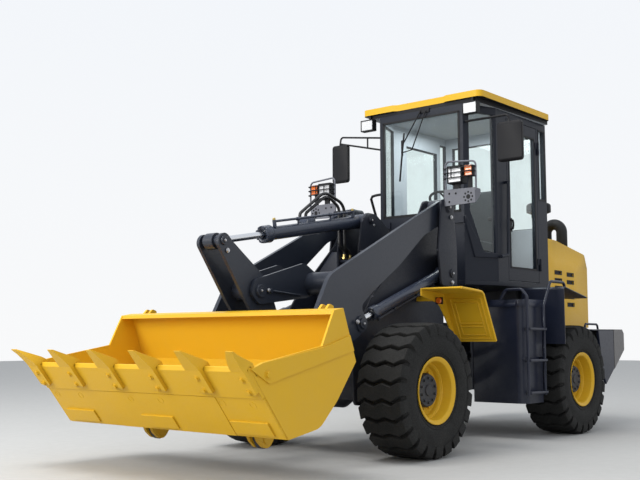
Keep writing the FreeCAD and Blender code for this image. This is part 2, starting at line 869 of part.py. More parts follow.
arm_points = corners("arm", (
    ("tail_top", "boom_pivot", -85, 118, 80),
    ("back", "", 1089, 1798, 900),
    ("knee_top", "", 1985, 1372, 200),
    ("knee_front", "", 2150, 1085, 120),
    ("shin_front", "", 2320, 740, 250),
    ("toe_front", "hinge", 92, 40, 70),
    ("toe_foot", "hinge", 5, -100, 62),
    ("toe_back", "hinge", -95, -5, 62),
    ("shin_back", "", 2130, 700, 300),
    ("knuckle_foot", "lift_eye", 30, -100, 70),
    ("knuckle_back", "lift_eye", -100, -10, 60),
    ("notch", "lift_eye", 0, 130, 50),
    ("hook", "", 1470, 1262, 22),
    ("belly", "", 1094, 1495, 300),
    ("throat", "", 740, 1764, 200),
    ("tail_foot", "boom_pivot", -110, -85, 78),
))
arm = plate("Arm", "XZ_Plane", S.arm_inner_y, S.arm_thickness, arm_points)
arm_outer = S.arm_inner_y + S.arm_thickness
tail_boss = pin_y("TailBoss", "boom_pivot", tower_outer + S.moving_gap, S.cheek_y - S.moving_gap,
                  S.boss_radius)
knuckle_disc = pin_y("KnuckleDisc", "lift_eye", arm_outer, arm_outer + 14, 62)
knuckle_cap = pin_y("KnuckleCap", "lift_eye", arm_outer + 14, arm_outer + 14 + S.pin_head_height, 34)
cross_tube = pin_y("CrossTube", "cross_tube", -S.arm_inner_y, S.arm_inner_y, S.cross_tube_radius)
bracket = plate("CrankBracket", "XZ_Plane", S.crank_bracket_y, S.crank_bracket,
                corners("crank_bracket", (
                    ("nose_top", "crank_pivot", 55, 82, 70),
                    ("nose_front", "crank_pivot", 98, -20, 60),
                    ("nose_foot", "crank_pivot", 10, -100, 70),
                    ("heel_foot", "cross_tube", 60, -110, 60),
                    ("heel_back", "cross_tube", -80, -60, 40),
                    ("heel_top", "cross_tube", -60, 80, 20),
                    ("crest", "cross_tube", 85, 160, 60),
                )))
bracket_outer = S.crank_bracket_y + S.crank_bracket
crank_pin = pin_y("CrankPin", "crank_pivot", -bracket_outer, bracket_outer, S.pin_radius)
crank_pin_head = pin_y("CrankPinHead", "crank_pivot", bracket_outer,
                       bracket_outer + S.pin_head_height, S.pin_head_radius)
boom_bores = both([
    pin_y("BoomBore", "boom_pivot", S.tower_plate_y, S.cheek_y, S.pin_radius + S.pin_gap),
    pin_y("ToeBore", "hinge", S.arm_inner_y - 10, arm_outer + 10, S.pin_radius + S.pin_gap),
])
weld("boom", both([arm, tail_boss, knuckle_disc, knuckle_cap, bracket, crank_pin_head])
     + [cross_tube, crank_pin], boom_bores)


# Bellcrank: two bent plates on a hub tube, with the link's upper pin

crank = plate("Crank", "XZ_Plane", S.crank_plate_y, S.crank_plate, corners("crank", (
    ("eye_front", "tilt_eye", 72, -5, 58),
    ("eye_top", "tilt_eye", -5, 82, 58),
    ("eye_back", "tilt_eye", -82, 5, 58),
    ("waist_back", "crank_pivot", -110, 85, 120),
    ("foot_back", "link_top", -75, 0, 56),
    ("foot_chin", "link_top", -5, -78, 56),
    ("foot_front", "link_top", 82, -5, 56),
    ("waist_front", "crank_pivot", 120, -75, 150),
)))
crank_outer = S.crank_plate_y + S.crank_plate
crank_hub = pin_y("CrankHub", "crank_pivot", -S.crank_plate_y - 1, S.crank_plate_y + 1,
                  S.crank_hub_radius)
crank_spacer = pin_y("CrankSpacer", "link_top", S.link_half_width + 1, S.crank_plate_y + 1, 44)
eye_cap = pin_y("EyeCap", "tilt_eye", crank_outer, crank_outer + 5, 36)
link_pin = pin_y("LinkPin", "link_top", -S.crank_plate_y, S.crank_plate_y, S.pin_radius - 4)
crank_bore = pin_y("CrankBore", "crank_pivot", -S.crank_bracket_y, S.crank_bracket_y,
                   S.pin_radius + S.pin_gap)
weld("bellcrank", both([crank, crank_spacer, eye_cap]) + [crank_hub, link_pin], [crank_bore])


# Link between bellcrank and bucket

def span_of(run, rise):
    """The straight distance that a run and a rise span."""
    return Size(math.hypot(run.value, rise.value), "sqrt(%s * %s + %s * %s)" % (
        run.text, run.text, rise.text, rise.text))


def direction(first, second):
    """The direction from one point to another, as a run and a rise of one millimetre."""
    run, rise = second[0] - first[0], second[1] - first[1]
    span = span_of(run, rise)
    return run / span, rise / span


def bar_points(first, second, radius):
    """Corners of a bar whose rounded ends surround two pivots."""
    (x1, z1), (x2, z2) = pivot(first), pivot(second)
    ux, uz = direction((x1, z1), (x2, z2))
    reach = as_size(radius)
    bend = reach - 1
    return (
        (x1 - ux * reach - uz * reach, z1 - uz * reach + ux * reach, bend),
        (x1 - ux * reach + uz * reach, z1 - uz * reach - ux * reach, bend),
        (x2 + ux * reach + uz * reach, z2 + uz * reach - ux * reach, bend),
        (x2 + ux * reach - uz * reach, z2 + uz * reach + ux * reach, bend),
    )


link_bar = plate("LinkBar", "XZ_Plane", -S.link_bar_half, S.link_bar_half * 2,
                 bar_points("link_top", "link_foot", S.link_eye_radius - 10))
link_eyes = [
    pin_y("LinkEyeTop", "link_top", -S.link_half_width, S.link_half_width, S.link_eye_radius),
    pin_y("LinkEyeFoot", "link_foot", -S.link_half_width, S.link_half_width, S.link_eye_radius),
]
link_bore = pin_y("LinkBore", "link_top", -S.link_half_width - 5, S.link_half_width + 5,
                  S.pin_radius - 4 + S.pin_gap)
weld("bucket_link", [link_bar] + link_eyes, [link_bore])


# Bucket: curved shell, side plates with bands, hinge ears, cutting edge and teeth

shell_rear, shell_crown, shell_edge, shell_heel, shell_belly, shell_back, shell_knee = corners(
    "bucket", (
        ("crown_rear", "hinge", -184, 865, 0),
        ("crown_front", "hinge", -88, 849, 0),
        ("edge", "hinge", 691, 489, 0),
        ("heel", "hinge", 352, 56, 0),
        ("belly", "hinge", 55, 105, 160),
        ("back", "hinge", -120, 270, 200),
        ("knee", "hinge", -316, 514, 0),
    ))
shell_front = corners("bucket_front", (
    ("cheek", "hinge", 587, 525, 0),
    ("knee", "hinge", 31, 620, 0),
))
inner_plate = S.bucket_half_width - S.bucket_band
side_plate = plate("BucketSide", "XZ_Plane", inner_plate - S.bucket_side_plate, S.bucket_side_plate, (
    shell_crown, shell_front[1], shell_front[0], shell_edge, shell_heel, shell_belly, shell_back,
    shell_knee, shell_rear))
band_rear, band_knee, band_front, band_rear_foot = corners("band", (
    ("rear_top", "hinge", -244, 688, 0),
    ("knee", "hinge", 23, 612, 0),
    ("front_foot", "hinge", 532, 400, 0),
    ("rear_foot", "hinge", -285, 586, 0),
))
side_band = plate("BucketBand", "XZ_Plane", inner_plate, S.bucket_band, (
    band_rear, band_knee, shell_front[0], shell_edge, band_front, band_rear_foot))


def inside_chain(chain, distance):
    """The same open chain moved to its left side by the sheet thickness."""
    runs = [direction(chain[i], chain[i + 1]) for i in range(len(chain) - 1)]
    moved = []
    for i, (x, z, bend) in enumerate(chain):
        ends = runs[max(i - 1, 0)], runs[min(i, len(runs) - 1)]
        (ax, az), (bx, bz) = ends
        share = distance / (ax * bx + az * bz + 1)
        moved.append((x - (az + bz) * share, z + (ax + bx) * share,
                      None if bend is None else bend - distance))
    return moved


shell_chain = [shell_rear, shell_knee, shell_back, shell_belly, shell_heel, shell_edge]
inner_chain = inside_chain(shell_chain, S.bucket_shell)
shell_half = inner_plate - S.bucket_side_plate
shell = plate("BucketShell", "XZ_Plane", -shell_half, shell_half * 2, shell_chain + inner_chain[::-1])
floor_ux, floor_uz = direction(shell_heel, shell_edge)


def floor_place(run, rise):
    """A point at a run up the floor from the heel and a depth below its outer face."""
    x, z = shell_heel[0], shell_heel[1]
    run, rise = as_size(run), as_size(rise)
    return x + floor_ux * run + floor_uz * rise, z + floor_uz * run - floor_ux * rise, None


lip = plate("BucketLip", "XZ_Plane", -shell_half, shell_half * 2, (
    shell_rear,
    (shell_rear[0] + 12, shell_rear[1] - 42, None),
    (shell_crown[0] + 5, shell_crown[1] - 26, None),
    shell_crown,
))
wear_strips = [
    plate("WearStrip" + level, "XZ_Plane", S.wear_strip_margin - shell_half,
          (shell_half - S.wear_strip_margin) * 2,
          (floor_place(near, 0), floor_place(near, S.wear_strip), floor_place(far, S.wear_strip),
           floor_place(far, 0)))
    for level, near, far in (("Rear", 30, 90), ("Front", 150, 210))
]
ear_points = corners("hinge_ear", (
    ("root_rear", "hinge", -100, 260, 0),
    ("root_front", "hinge", 140, 104, 0),
    ("chin_front", "hinge", 82, -10, 62),
    ("chin", "hinge", -8, -88, 62),
    ("chin_rear", "hinge", -88, 25, 62),
))
ear_inner = plate("EarInner", "XZ_Plane", S.arm_inner_y - S.moving_gap - S.ear_plate, S.ear_plate,
                  ear_points)
ear_outer = plate("EarOuter", "XZ_Plane", arm_outer + S.moving_gap, S.ear_plate, ear_points)
hinge_pin = pin_y("HingePin", "hinge", S.arm_inner_y - S.moving_gap - S.ear_plate - 6,
                  arm_outer + S.moving_gap + S.ear_plate + 6, S.pin_radius)
link_ear = plate("LinkEar", "XZ_Plane", S.link_half_width + S.moving_gap, S.ear_plate,
                 corners("link_ear", (
                     ("root_rear", "hinge", -190, 366, 0),
                     ("root_front", "hinge", 0, 165, 0),
                     ("chin_front", "link_foot", 30, -76, 50),
                     ("chin_rear", "link_foot", -72, -20, 50),
                     ("brow", "link_foot", -55, 60, 50),
                 )))
link_cap = pin_y("LinkCap", "link_foot", S.link_half_width + S.moving_gap + S.ear_plate,
                 S.link_half_width + S.moving_gap + S.ear_plate + S.pin_head_height, 36)
lifting_eye_points = corners("lifting_eye", (
    ("root_rear", "hinge", -228, 750, 0),
    ("root_front", "hinge", -182, 860, 0),
    ("top", "hinge", -220, 898, 15),
    ("back", "hinge", -262, 883, 15),
))
eye_inner_y = S.bucket_half_width - S.lifting_eye_inset
lifting_eyes = [plate("LiftingEye" + level, "XZ_Plane", place, 20, lifting_eye_points)
                for level, place in (("Inner", eye_inner_y), ("Outer", eye_inner_y + S.lifting_eye_spacing))]
weld("bucket_shell",
     both([side_plate, side_band, ear_inner, ear_outer, hinge_pin, link_ear, link_cap] + lifting_eyes)
     + [shell, lip] + wear_strips)
weld("cutting_edge", [plate("EdgePlate", "XZ_Plane", -inner_plate, inner_plate * 2, (
    floor_place(400, 0),
    floor_place(640, 0),
    floor_place(612, S.edge_plate),
    floor_place(400, S.edge_plate),
))])
teeth = []
for name, place in (("Inner", S.tooth_inner_y), ("Middle", S.tooth_middle_y),
                    ("Outer", inner_plate - S.tooth_width / 2)):
    teeth.append(plate("Tooth" + name, "XZ_Plane", place - S.tooth_width / 2, S.tooth_width, (
        floor_place(366, S.edge_plate),
        floor_place(612, S.edge_plate),
        floor_place(640, 0),
        floor_place(655, 4),
        floor_place(742, 68),
        floor_place(744, 76),
        floor_place(590, 72),
        floor_place(440, 50),
        floor_place(372, 40),
    )))
weld("bucket_teeth", both(teeth))


# Hydraulic cylinders, drawn along X from the base eye and turned to their rest slope

def barrel_points(length, radius, gland_radius, rod_radius):
    rod_room = rod_radius + S.running_gap
    start = S.bore_start
    return (
        (30, 0, None),
        (30, radius - 4, None),
        (36, radius, None),
        (length - S.gland_length, radius, None),
        (length - S.gland_length, gland_radius, None),
        (length - 6, gland_radius, None),
        (length, gland_radius - 6, None),
        (length, rod_room, None),
        (start, rod_room, None),
        (start, 0, None),
    )


def cylinder_pair(name, length, sizes, barrel_eye, rod_eye, fittings=()):
    """Barrel and rod of one cylinder. Eyes are (radius, half width, axis, bore or None)."""
    barrel_length, rod_length, radius, gland_radius, rod_radius = sizes
    shell_tube = turned(name + "_tube", barrel_points(barrel_length, radius, gland_radius, rod_radius),
                        "H_Axis")
    eye_radius, half, axis, bore = barrel_eye
    shift = {"y": (0, -half, 0), "z": (0, 0, -half)}[axis]
    eye = rod(name + "_base_eye", axis, shift[0], shift[1], shift[2], eye_radius, half * 2)
    bore_shift = {"y": (0, -half - 5, 0), "z": (0, 0, -half - 5)}[axis]
    hole = rod(name + "_base_bore", axis, bore_shift[0], bore_shift[1], bore_shift[2], bore,
               half * 2 + 10)
    barrel = cut_away(name + "_barrel", fused(name + "_barrel_weld", [shell_tube, eye] + list(fittings)),
                      [hole])
    eye_radius, half, axis, cap = rod_eye
    bar = rod(name + "_bar", "x", length - rod_length, 0, 0, rod_radius, rod_length)
    shift = {"y": (length, -half, 0), "z": (length, 0, -half)}[axis]
    head = rod(name + "_head", axis, shift[0], shift[1], shift[2], eye_radius, half * 2)
    plunger = fused(name + "_rod", [bar, head])
    return barrel, plunger


def place_turned(name, item, x, y, z, axis, angle):
    item.Placement = Placement(Vector(), Rotation(axis, angle.value))
    bind(item, "Placement.Rotation.Angle", angle)
    node(name, item, x, y, z)


def rest_line(run, rise):
    """Length and slope in degrees of a cylinder at rest."""
    slope = Size(math.degrees(math.atan2(rise.value, run.value)),
                 "atan(%s / %s)" % (rise.text, run.text))
    return span_of(run, rise), slope


DOWN_Y = Vector(0, -1, 0)
tilt_length, tilt_slope = rest_line(S.tilt_eye_x - S.tilt_base_x, S.tilt_eye_z - S.tilt_base_z)
port_end = S.hose_port_place + S.hose_port_length
hose_port = block("HosePort", S.hose_port_place, port_end, S.hose_plane_y - S.hose_radius - 5, 15,
                  S.tilt_barrel_radius - 12, S.hose_port_height)
barrel, plunger = cylinder_pair(
    "tilt", tilt_length,
    (tilt_length - S.tilt_rod_showing, S.tilt_rod_length, S.tilt_barrel_radius, S.tilt_gland_radius,
     S.tilt_rod_radius),
    (S.tilt_eye_radius, S.tilt_base_half, "y", S.pin_radius - 4 + S.pin_gap),
    (S.tilt_eye_radius, S.tilt_eye_half, "y", None), [hose_port])
place_turned("tilt_barrel", barrel, S.tilt_base_x, None, S.tilt_base_z, DOWN_Y, tilt_slope)
place_turned("tilt_rod", plunger, S.tilt_base_x, None, S.tilt_base_z, DOWN_Y, tilt_slope)

# Hoses from the tilt barrel's port to the manifold between the pedestal's plates


def on_tilt_barrel(along, height):
    """A place in the side view at a run along the tilt barrel and a height off its axis."""
    ux, uz = direction((S.tilt_base_x, S.tilt_base_z), (S.tilt_eye_x, S.tilt_eye_z))
    along, height = as_size(along), as_size(height)
    return S.tilt_base_x + ux * along - uz * height, S.tilt_base_z + uz * along + ux * height


hoses = []
for name, inset, rise, bends, foot_gap in (
        ("Front", 13, 44, ((1300, 2130, 160), (1035, 2045, 110), (1035, 1675, 60), (960, 1640, 50)), 2),
        ("Rear", 86, 40, ((1270, 2105, 120), (1108, 2015, 70), (1108, 1690, 50), (1040, 1650, 45)), 5)):
    along = port_end - inset
    start = on_tilt_barrel(along, S.hose_port_height + S.running_gap)
    turn = on_tilt_barrel(along, S.hose_port_height + rise)
    route = [(start[0], start[1], None), (turn[0], turn[1], as_size(40))]
    route += corners("hose" + name, [("bend_%s" % "abcd"[i], "") + bend for i, bend in enumerate(bends)])
    route.append((route[-1][0], S.manifold_top_z + foot_gap, None))
    hoses.append(tube("Hose" + name, "XZ_Plane", -S.hose_plane_y, route, S.hose_radius))
framework("tilt_hoses", hoses)

lift_length, lift_slope = rest_line(S.lift_eye_x - S.lift_base_x, S.lift_eye_z - S.lift_base_z)
for side, sign in SIDES:
    barrel, plunger = cylinder_pair(
        "lift_" + side, lift_length,
        (lift_length - S.lift_rod_showing, S.lift_rod_length, S.lift_barrel_radius, S.lift_gland_radius,
         S.lift_rod_radius),
        (S.lift_eye_radius, S.lift_eye_half, "y", S.pin_radius - 6 + S.pin_gap),
        (S.lift_eye_radius, S.lift_eye_half, "y", None))
    place_turned("lift_barrel_" + side, barrel, S.lift_base_x, S.lift_plane_y * sign, S.lift_base_z,
                 DOWN_Y, lift_slope)
    place_turned("lift_rod_" + side, plunger, S.lift_base_x, S.lift_plane_y * sign, S.lift_base_z,
                 DOWN_Y, lift_slope)

steer_length, steer_slope = rest_line(
    S.steer_eye_x - S.steer_base_x, S.steer_eye_y - S.steer_base_y)
for side, sign in SIDES:
    barrel, plunger = cylinder_pair(
        "steer_" + side, steer_length,
        (steer_length - S.steer_rod_showing, S.steer_rod_length, S.steer_barrel_radius, S.steer_gland_radius,
         S.steer_rod_radius),
        (S.steer_eye_radius, S.steer_eye_half, "z", as_size(20) + S.pin_gap),
        (S.steer_eye_radius, S.steer_eye_half, "z", None))
    turn_axis = Vector(0, 0, sign)
    place_turned("steer_barrel_" + side, barrel, S.steer_base_x, S.steer_base_y * sign, S.steer_z,
                 turn_axis, steer_slope)
    place_turned("steer_rod_" + side, plunger, S.steer_base_x, S.steer_base_y * sign, S.steer_z,
                 turn_axis, steer_slope)


# Rear frame: rails, cross members, hinge forks and mounts

fork_x = cell("fork_x", -345)
rail = plate("Rail", "XZ_Plane", S.rail_y, S.rail_plate, [
    (fork_x, cell("rail_top_z", 1051), None),
    (fork_x, S.tower_foot_z, None),
] + corners("rail", (
    ("dip", "", -760, 432, 60),
    ("arch_front", "", -1000, 600, 60),
    ("arch_rear", "", -1500, 600, 60),
    ("tail_foot", "", -2270, 520, 0),
    ("tail_top", "", -2270, 1000, 0),
    ("back", "", -1100, 1051, 80),
)))
cross_wall = block("CrossWall", fork_x - 25, fork_x, -S.rail_y, S.rail_y, S.tower_foot_z, 680)
cross_wall_top = block("CrossWallTop", fork_x - 25, fork_x, -S.rail_y, S.rail_y, 900, 1051)
rear_plates = []
for level, place in (("Upper", S.hinge_upper_z + S.hinge_plate + S.running_gap),
                     ("Lower", S.hinge_lower_z - S.hinge_plate - S.running_gap)):
    rear_plates.append(plate("RearHinge" + level, "XY_Plane", place, S.hinge_plate,
                             hinge_points(fork_x, 300)))
upper_pin = rod("UpperPin", "z", 0, 0, S.hinge_upper_z - 8, S.hinge_pin_radius, 86)
upper_pin_head = rod("UpperPinHead", "z", 0, 0, S.hinge_upper_z + 60, 52, 14)
lower_pin = rod("LowerPin", "z", 0, 0, S.hinge_lower_z - 38, S.hinge_pin_radius, 76)
framework("hinge_fork", [
    cross_wall,
    cross_wall_top,
    fused("HingeForkUpper", [rear_plates[0], upper_pin, upper_pin_head]),
    fused("HingeForkLower", [rear_plates[1], lower_pin]),
])
steer_mounts = []
for level, z_low in (("Upper", S.steer_z + S.steer_eye_half + S.moving_gap),
                     ("Lower", S.steer_z - S.steer_eye_half - S.moving_gap - 20)):
    steer_mounts.append(block("SteerMount" + level, S.steer_base_x - 70, S.steer_base_x + 24,
                              S.steer_base_y - 40, S.rail_y, z_low, z_low + 20))
steer_pin = rod("SteerPin", "z", S.steer_base_x, S.steer_base_y,
                S.steer_z - S.steer_eye_half - S.moving_gap - 10, 20, 76)
members = []
for name, x_low, x_high, z_low, z_high in (
        ("MemberFront", -740, -690, 900, 1040),
        ("MemberAxle", -1300, -1225, 700, 760),
        ("MemberMid", -1600, -1540, 700, 760),
        ("MemberRear", -2160, -2100, 700, 760)):
    members.append(block(name, x_low, x_high, -S.rail_y, S.rail_y, z_low, z_high))
cab_posts = []
for name, x_low in (("CabPostFront", -480), ("CabPostRear", -1370)):
    cab_posts.append(block(name, x_low, x_low + 60, S.rail_y - 35, S.rail_y + S.rail_plate, 1000,
                           S.cab_floor_z))
tank_arm = block("TankArm", -640, -420, S.rail_y, 350, 700, 860)
fender_bar = block("FenderBar", -845, -833, S.rail_y, 600, 940, 1020)
axle_seat = block("AxleSeat", -S.axle_x - S.axle_pad_half, -S.axle_x + S.axle_pad_half,
                  S.rail_y - 20, S.rail_y + 44, S.axle_pad_top, S.axle_pad_top + 22)
rail_weld = fused("RailWeld", [rail, tank_arm, fender_bar, axle_seat] + cab_posts)
steer_mount = fused("SteerMount", steer_mounts + [steer_pin])
framework("rear_chassis", both([rail_weld, steer_mount]) + members)

engine = block("EngineTop", -2220, -1500, -330, 330, 1060, 1700)
sump = block("EngineSump", -2180, -1520, -260, 260, 760, 1062)
weld("engine_block", [engine, sump])


# Counterweight with rounded corners and an undercut tail

weight_corner_x = cell("weight_corner_x", -2604)
weight_half = cell("weight_half", 880)
weight_front_x = cell("weight_front_x", -2270)
weight_body = plate("WeightBody", "XY_Plane", S.weight_foot_z, S.weight_top_z - S.weight_foot_z, (
    (weight_front_x, -weight_half, cell("weight_front_round", 30)),
    (weight_corner_x, -weight_half, cell("weight_rear_round", 110)),
    (S.tail_x, 0, None),
    (weight_corner_x, weight_half, S.weight_rear_round),
    (weight_front_x, weight_half, S.weight_front_round),
))
undercut_front_x = cell("undercut_front_x", -2500)
undercut_foot_z = S.weight_foot_z - 30
undercut = plate("WeightUndercut", "XZ_Plane", -weight_half - 20, (weight_half + 20) * 2, (
    (S.tail_x - 20, cell("undercut_top_z", 640), None),
    (undercut_front_x, S.weight_foot_z - 2, None),
    (undercut_front_x, undercut_foot_z, None),
    (S.tail_x - 20, undercut_foot_z, None),
))
hood_lug = plate("WeightLug", "XZ_Plane", S.hood_lug_y + S.running_gap, 12, corners("weight_lug", (
    ("head_front", "hood_hinge", 22, 24, 18),
    ("head_rear", "hood_hinge", -17, 24, 16),
)) + [
    (S.hood_hinge_x - 17, S.weight_top_z, None),
    (S.hood_hinge_x + 25, S.weight_top_z, None),
])
hood_pin = pin_y("HoodPin", "hood_hinge", S.hood_lug_y - 14, S.hood_lug_y + 2, S.hood_pin_radius)
weld("counterweight", [fused("WeightAll", [cut_away("WeightCut", weight_body, [undercut])]
                             + both([hood_lug, hood_pin]))])


# Side tanks with cap bands, ladders and rear fenders

tank = plate("Tank", "XY_Plane", 322, 866, corners("tank", (
    ("front_inner", "", -345, 350, 0),
    ("front_outer", "", -345, 880, 90),
    ("rear_outer", "", -700, 880, 30),
    ("rear_inner", "", -700, 350, 0),
)))
tank_cap = plate("TankCap", "XY_Plane", S.tank_top_z - S.tank_cap, S.tank_cap, corners("tank_cap", (
    ("front_inner", "", -335, 350, 0),
    ("front_outer", "", -335, 890, 95),
    ("rear_outer", "", -700, 890, 0),
    ("rear_inner", "", -700, 350, 0),
)))
weld("side_tanks", both([tank, tank_cap]))
stile_y = cell("stile_y", 930)
stile_radius = cell("stile_radius", 14)
stile_foot_z = cell("stile_foot_z", 395)
front_stile_x = cell("front_stile_x", -305)
rear_stile_x = cell("rear_stile_x", -618)
ladder_parts = [
    tube("FrontHandrail", "YZ_Plane", front_stile_x, [
        (stile_y, stile_foot_z, None),
    ] + corners("front_handrail", (
        ("turn", "", 930, 1275, 40),
        ("top_outer", "", 877, 1340, 40),
        ("top_inner", "", 719, 1340, 50),
    )) + [(cell("front_handrail_foot_y", 663), S.tank_top_z - 10, None)], stile_radius),
    tube("RearHandrail", "XZ_Plane", -stile_y, [
        (rear_stile_x, stile_foot_z, None),
    ] + corners("rear_handrail", (
        ("turn", "", -618, 1200, 60),
        ("shoulder", "", -765, 1428, 60),
        ("rear_top", "", -1060, 1428, 50),
    )) + [(S.rear_handrail_rear_top_run, cell("rear_handrail_foot_z", 1348), None)],
         stile_radius),
]
for name, place in (("Front", front_stile_x), ("Rear", rear_stile_x)):
    ladder_parts.append(block("StileTie" + name, place - 8, place + 8, 880, stile_y, 705, 735))
for name, place in (("Low", 420), ("Mid", 705), ("High", 985)):
    ladder_parts.append(block("Rung" + name, rear_stile_x, front_stile_x, 900, 960, place - 12,
                              place + 12))
weld("ladders", both(ladder_parts))
rear_fender = plate("RearFenderSheet", "XZ_Plane", 600, 430, corners("rear_fender", (
    ("foot", "", -833, 850, 0),
    ("brow", "", -833, 1386, 30),
    ("tail", "", -1330, 1296, 0),
    ("tail_inside", "", -1330, 1284, 0),
    ("brow_inside", "", -845, 1372, 18),
    ("foot_inside", "", -845, 850, 0),
)))
weld("rear_fenders", both([rear_fender]))


# Cab: floor, walls with window openings, roof and glass

cab_plan = [
    (S.cab_rear_x, -S.cab_half, None),
    (S.cab_shoulder_x, -S.cab_half, None),
    (S.cab_front_x, -S.cab_front_half, None),
    (S.cab_front_x, S.cab_front_half, None),
    (S.cab_shoulder_x, S.cab_half, None),
    (S.cab_rear_x, S.cab_half, None),
]
cab_floor = plate("CabFloor", "XY_Plane", S.cab_floor_z, S.cab_floor_plate, cab_plan)
wall_foot = S.cab_floor_z + S.cab_floor_plate
wall_height = S.cab_eaves_z - wall_foot
weld("cab_base", [cab_floor])
front_inner_x = S.cab_front_x - S.cab_front_plate
front_inner_half = S.cab_front_half - 28
shoulder_inner_half = S.cab_half - S.cab_wall - 2
cab_front = plate("CabFrontWall", "XY_Plane", wall_foot, wall_height, (
    (S.cab_shoulder_x, -S.cab_half, None),
    (S.cab_front_x, -S.cab_front_half, None),
    (S.cab_front_x, S.cab_front_half, None),
    (S.cab_shoulder_x, S.cab_half, None),
    (S.cab_shoulder_x, shoulder_inner_half, None),
    (front_inner_x, front_inner_half, None),
    (front_inner_x, -front_inner_half, None),
    (S.cab_shoulder_x, -shoulder_inner_half, None),
))
windshield_hole = block("WindshieldHole", front_inner_x - 20, S.cab_front_x + 20, -S.windshield_half,
                        S.windshield_half, S.windshield_foot_z, S.window_top_z)
corner_window = corners("corner_window", (
    ("sill_rear", "", -375, 1683, 0),
    ("sill_front", "", -238, 1698, 30),
    ("foot_front", "", -95, 2066, 0),
)) + [
    (cell("corner_window_front_x", -95), S.window_top_z, None),
    (cell("corner_window_rear_x", -375), S.window_top_z, None),
]


def corner_cutter(name, points):
    """A prism through the cab's left front corner, across the machine."""
    return plate(name, "XZ_Plane", S.windshield_half - 25, 300, points)


def corner_sheet(name, inside, thickness):
    """A sheet along the cab's slanted front corner, from a depth inside the corner's plane."""
    run = S.cab_shoulder_x - S.cab_front_x
    rise = S.cab_half - S.cab_front_half
    span = span_of(run, rise)
    out_x, out_y = rise / span, -run / span
    outer = thickness - inside
    return plate(name, "XY_Plane", wall_foot, wall_height, (
        (S.cab_front_x - out_x * inside, S.cab_front_half - out_y * inside, None),
        (S.cab_front_x + out_x * outer, S.cab_front_half + out_y * outer, None),
        (S.cab_shoulder_x + out_x * outer, S.cab_half + out_y * outer, None),
        (S.cab_shoulder_x - out_x * inside, S.cab_half - out_y * inside, None),
    ))


def common(name, pieces):
    shared = doc.addObject("Part::MultiCommon", name)
    shared.Shapes = pieces
    return shared


corner_band = common("CornerBand", [
    corner_sheet("CornerBandSheet", as_size(4), S.corner_band + 4),
    corner_cutter("CornerBandKeep", corners("corner_band", (
        ("head_top", "", -34, 2012, 0),
        ("sill_top_front", "", -229, 1683, 0),
        ("sill_top_rear", "", -387, 1683, 0),
        ("sill_foot_rear", "", -387, 1640, 0),
        ("sill_foot_front", "", -128, 1640, 0),
        ("head_foot", "", -34, 1947, 0),
    ))),
])
front_band = block("FrontBand", S.cab_front_x - 2, S.cab_front_x + S.corner_band, 348,
                   S.cab_front_half, 1947, 2012)
weld("cab_front", [cab_front] + both([corner_band, front_band]),
     [windshield_hole] + both([corner_cutter("CornerHole", corner_window)]))

cab_side = block("CabSideWall", S.cab_rear_x, S.cab_shoulder_x, S.cab_half - S.cab_wall, S.cab_half,
                 wall_foot, S.cab_eaves_z)


def side_cut(name, rear_x, front_x, foot_z, top_z):
    """A window opening through one side wall."""
    return block(name, rear_x, front_x, S.cab_half - S.cab_wall - 20, S.cab_half + 20, foot_z, top_z)


door_hole = side_cut("DoorHole", S.door_rear_x, S.door_front_x, S.door_sill_z, S.door_top_z)
quarter_top_z = S.window_top_z - 3
quarter_hole = side_cut("QuarterHole", S.quarter_rear_x, S.quarter_front_x, S.quarter_foot_z,
                        quarter_top_z)
knuckle_levels = (("Low", S.door_sill_z + S.knuckle_low_rise),
                  ("High", S.door_top_z - S.knuckle_high_drop))
knuckle_height = cell("knuckle_height", 60)
strap_outer_y = S.cab_half + 8
pillar_knuckles = []
for level, z_low in knuckle_levels:
    z_top = z_low - S.running_gap
    pillar_knuckles.append(rod("PillarKnuckle" + level, "z", S.door_hinge_x, S.door_hinge_y,
                               z_top - knuckle_height, S.knuckle_radius, knuckle_height))
    pillar_knuckles.append(block("PillarStrap" + level, S.door_hinge_x - 35, S.door_hinge_x,
                                 S.cab_half - 1, strap_outer_y, z_top - knuckle_height, z_top))
grab_tube = tube("GrabTube", "XZ_Plane", -S.grab_tube_y, corners("grab_tube", (
    ("foot", "", -388, 1652, 0),
    ("heel", "", -515, 1672, 30),
    ("head", "", -545, 2372, 0),
)), S.grab_tube_radius)
grab_feet = [
    rod("GrabFootLow", "y", -418, S.cab_half - 2, 1654, 13, S.grab_tube_y - S.cab_half + 2),
    rod("GrabFootHigh", "y", -545, S.cab_half - 2, 2362, 13, S.grab_tube_y - S.cab_half + 2),
]
left_wall = cut_away("LeftWall", cab_side, [door_hole, quarter_hole])
weld("cab_left_side", [left_wall, grab_tube] + grab_feet + pillar_knuckles)
side_right = block("CabSideWallRight", S.cab_rear_x, S.cab_shoulder_x, S.cab_half - S.cab_wall,
                   S.cab_half, wall_foot, S.cab_eaves_z)
weld("cab_right_side", [mirrored(side_right)], [
    mirrored(side_cut("RightHole", S.side_window_rear_x, S.side_window_front_x,
                      S.side_window_foot_z, S.door_window_top_z)),
    mirrored(side_cut("QuarterHoleFar", S.quarter_rear_x, S.quarter_front_x, S.quarter_foot_z,
                      quarter_top_z)),
])
inner_side = S.cab_half - S.cab_wall
rear_inner_x = S.cab_rear_x + S.cab_wall
rear_wall_cab = block("CabRearWall", S.cab_rear_x, rear_inner_x, -inner_side, inner_side, wall_foot,
                      S.cab_eaves_z)
rear_window_top_z = S.window_top_z - 40
rear_hole = block("RearHole", S.cab_rear_x - 20, rear_inner_x + 20, -S.rear_window_half,
                  S.rear_window_half, S.rear_window_foot_z, rear_window_top_z)
weld("cab_rear", [rear_wall_cab], [rear_hole])
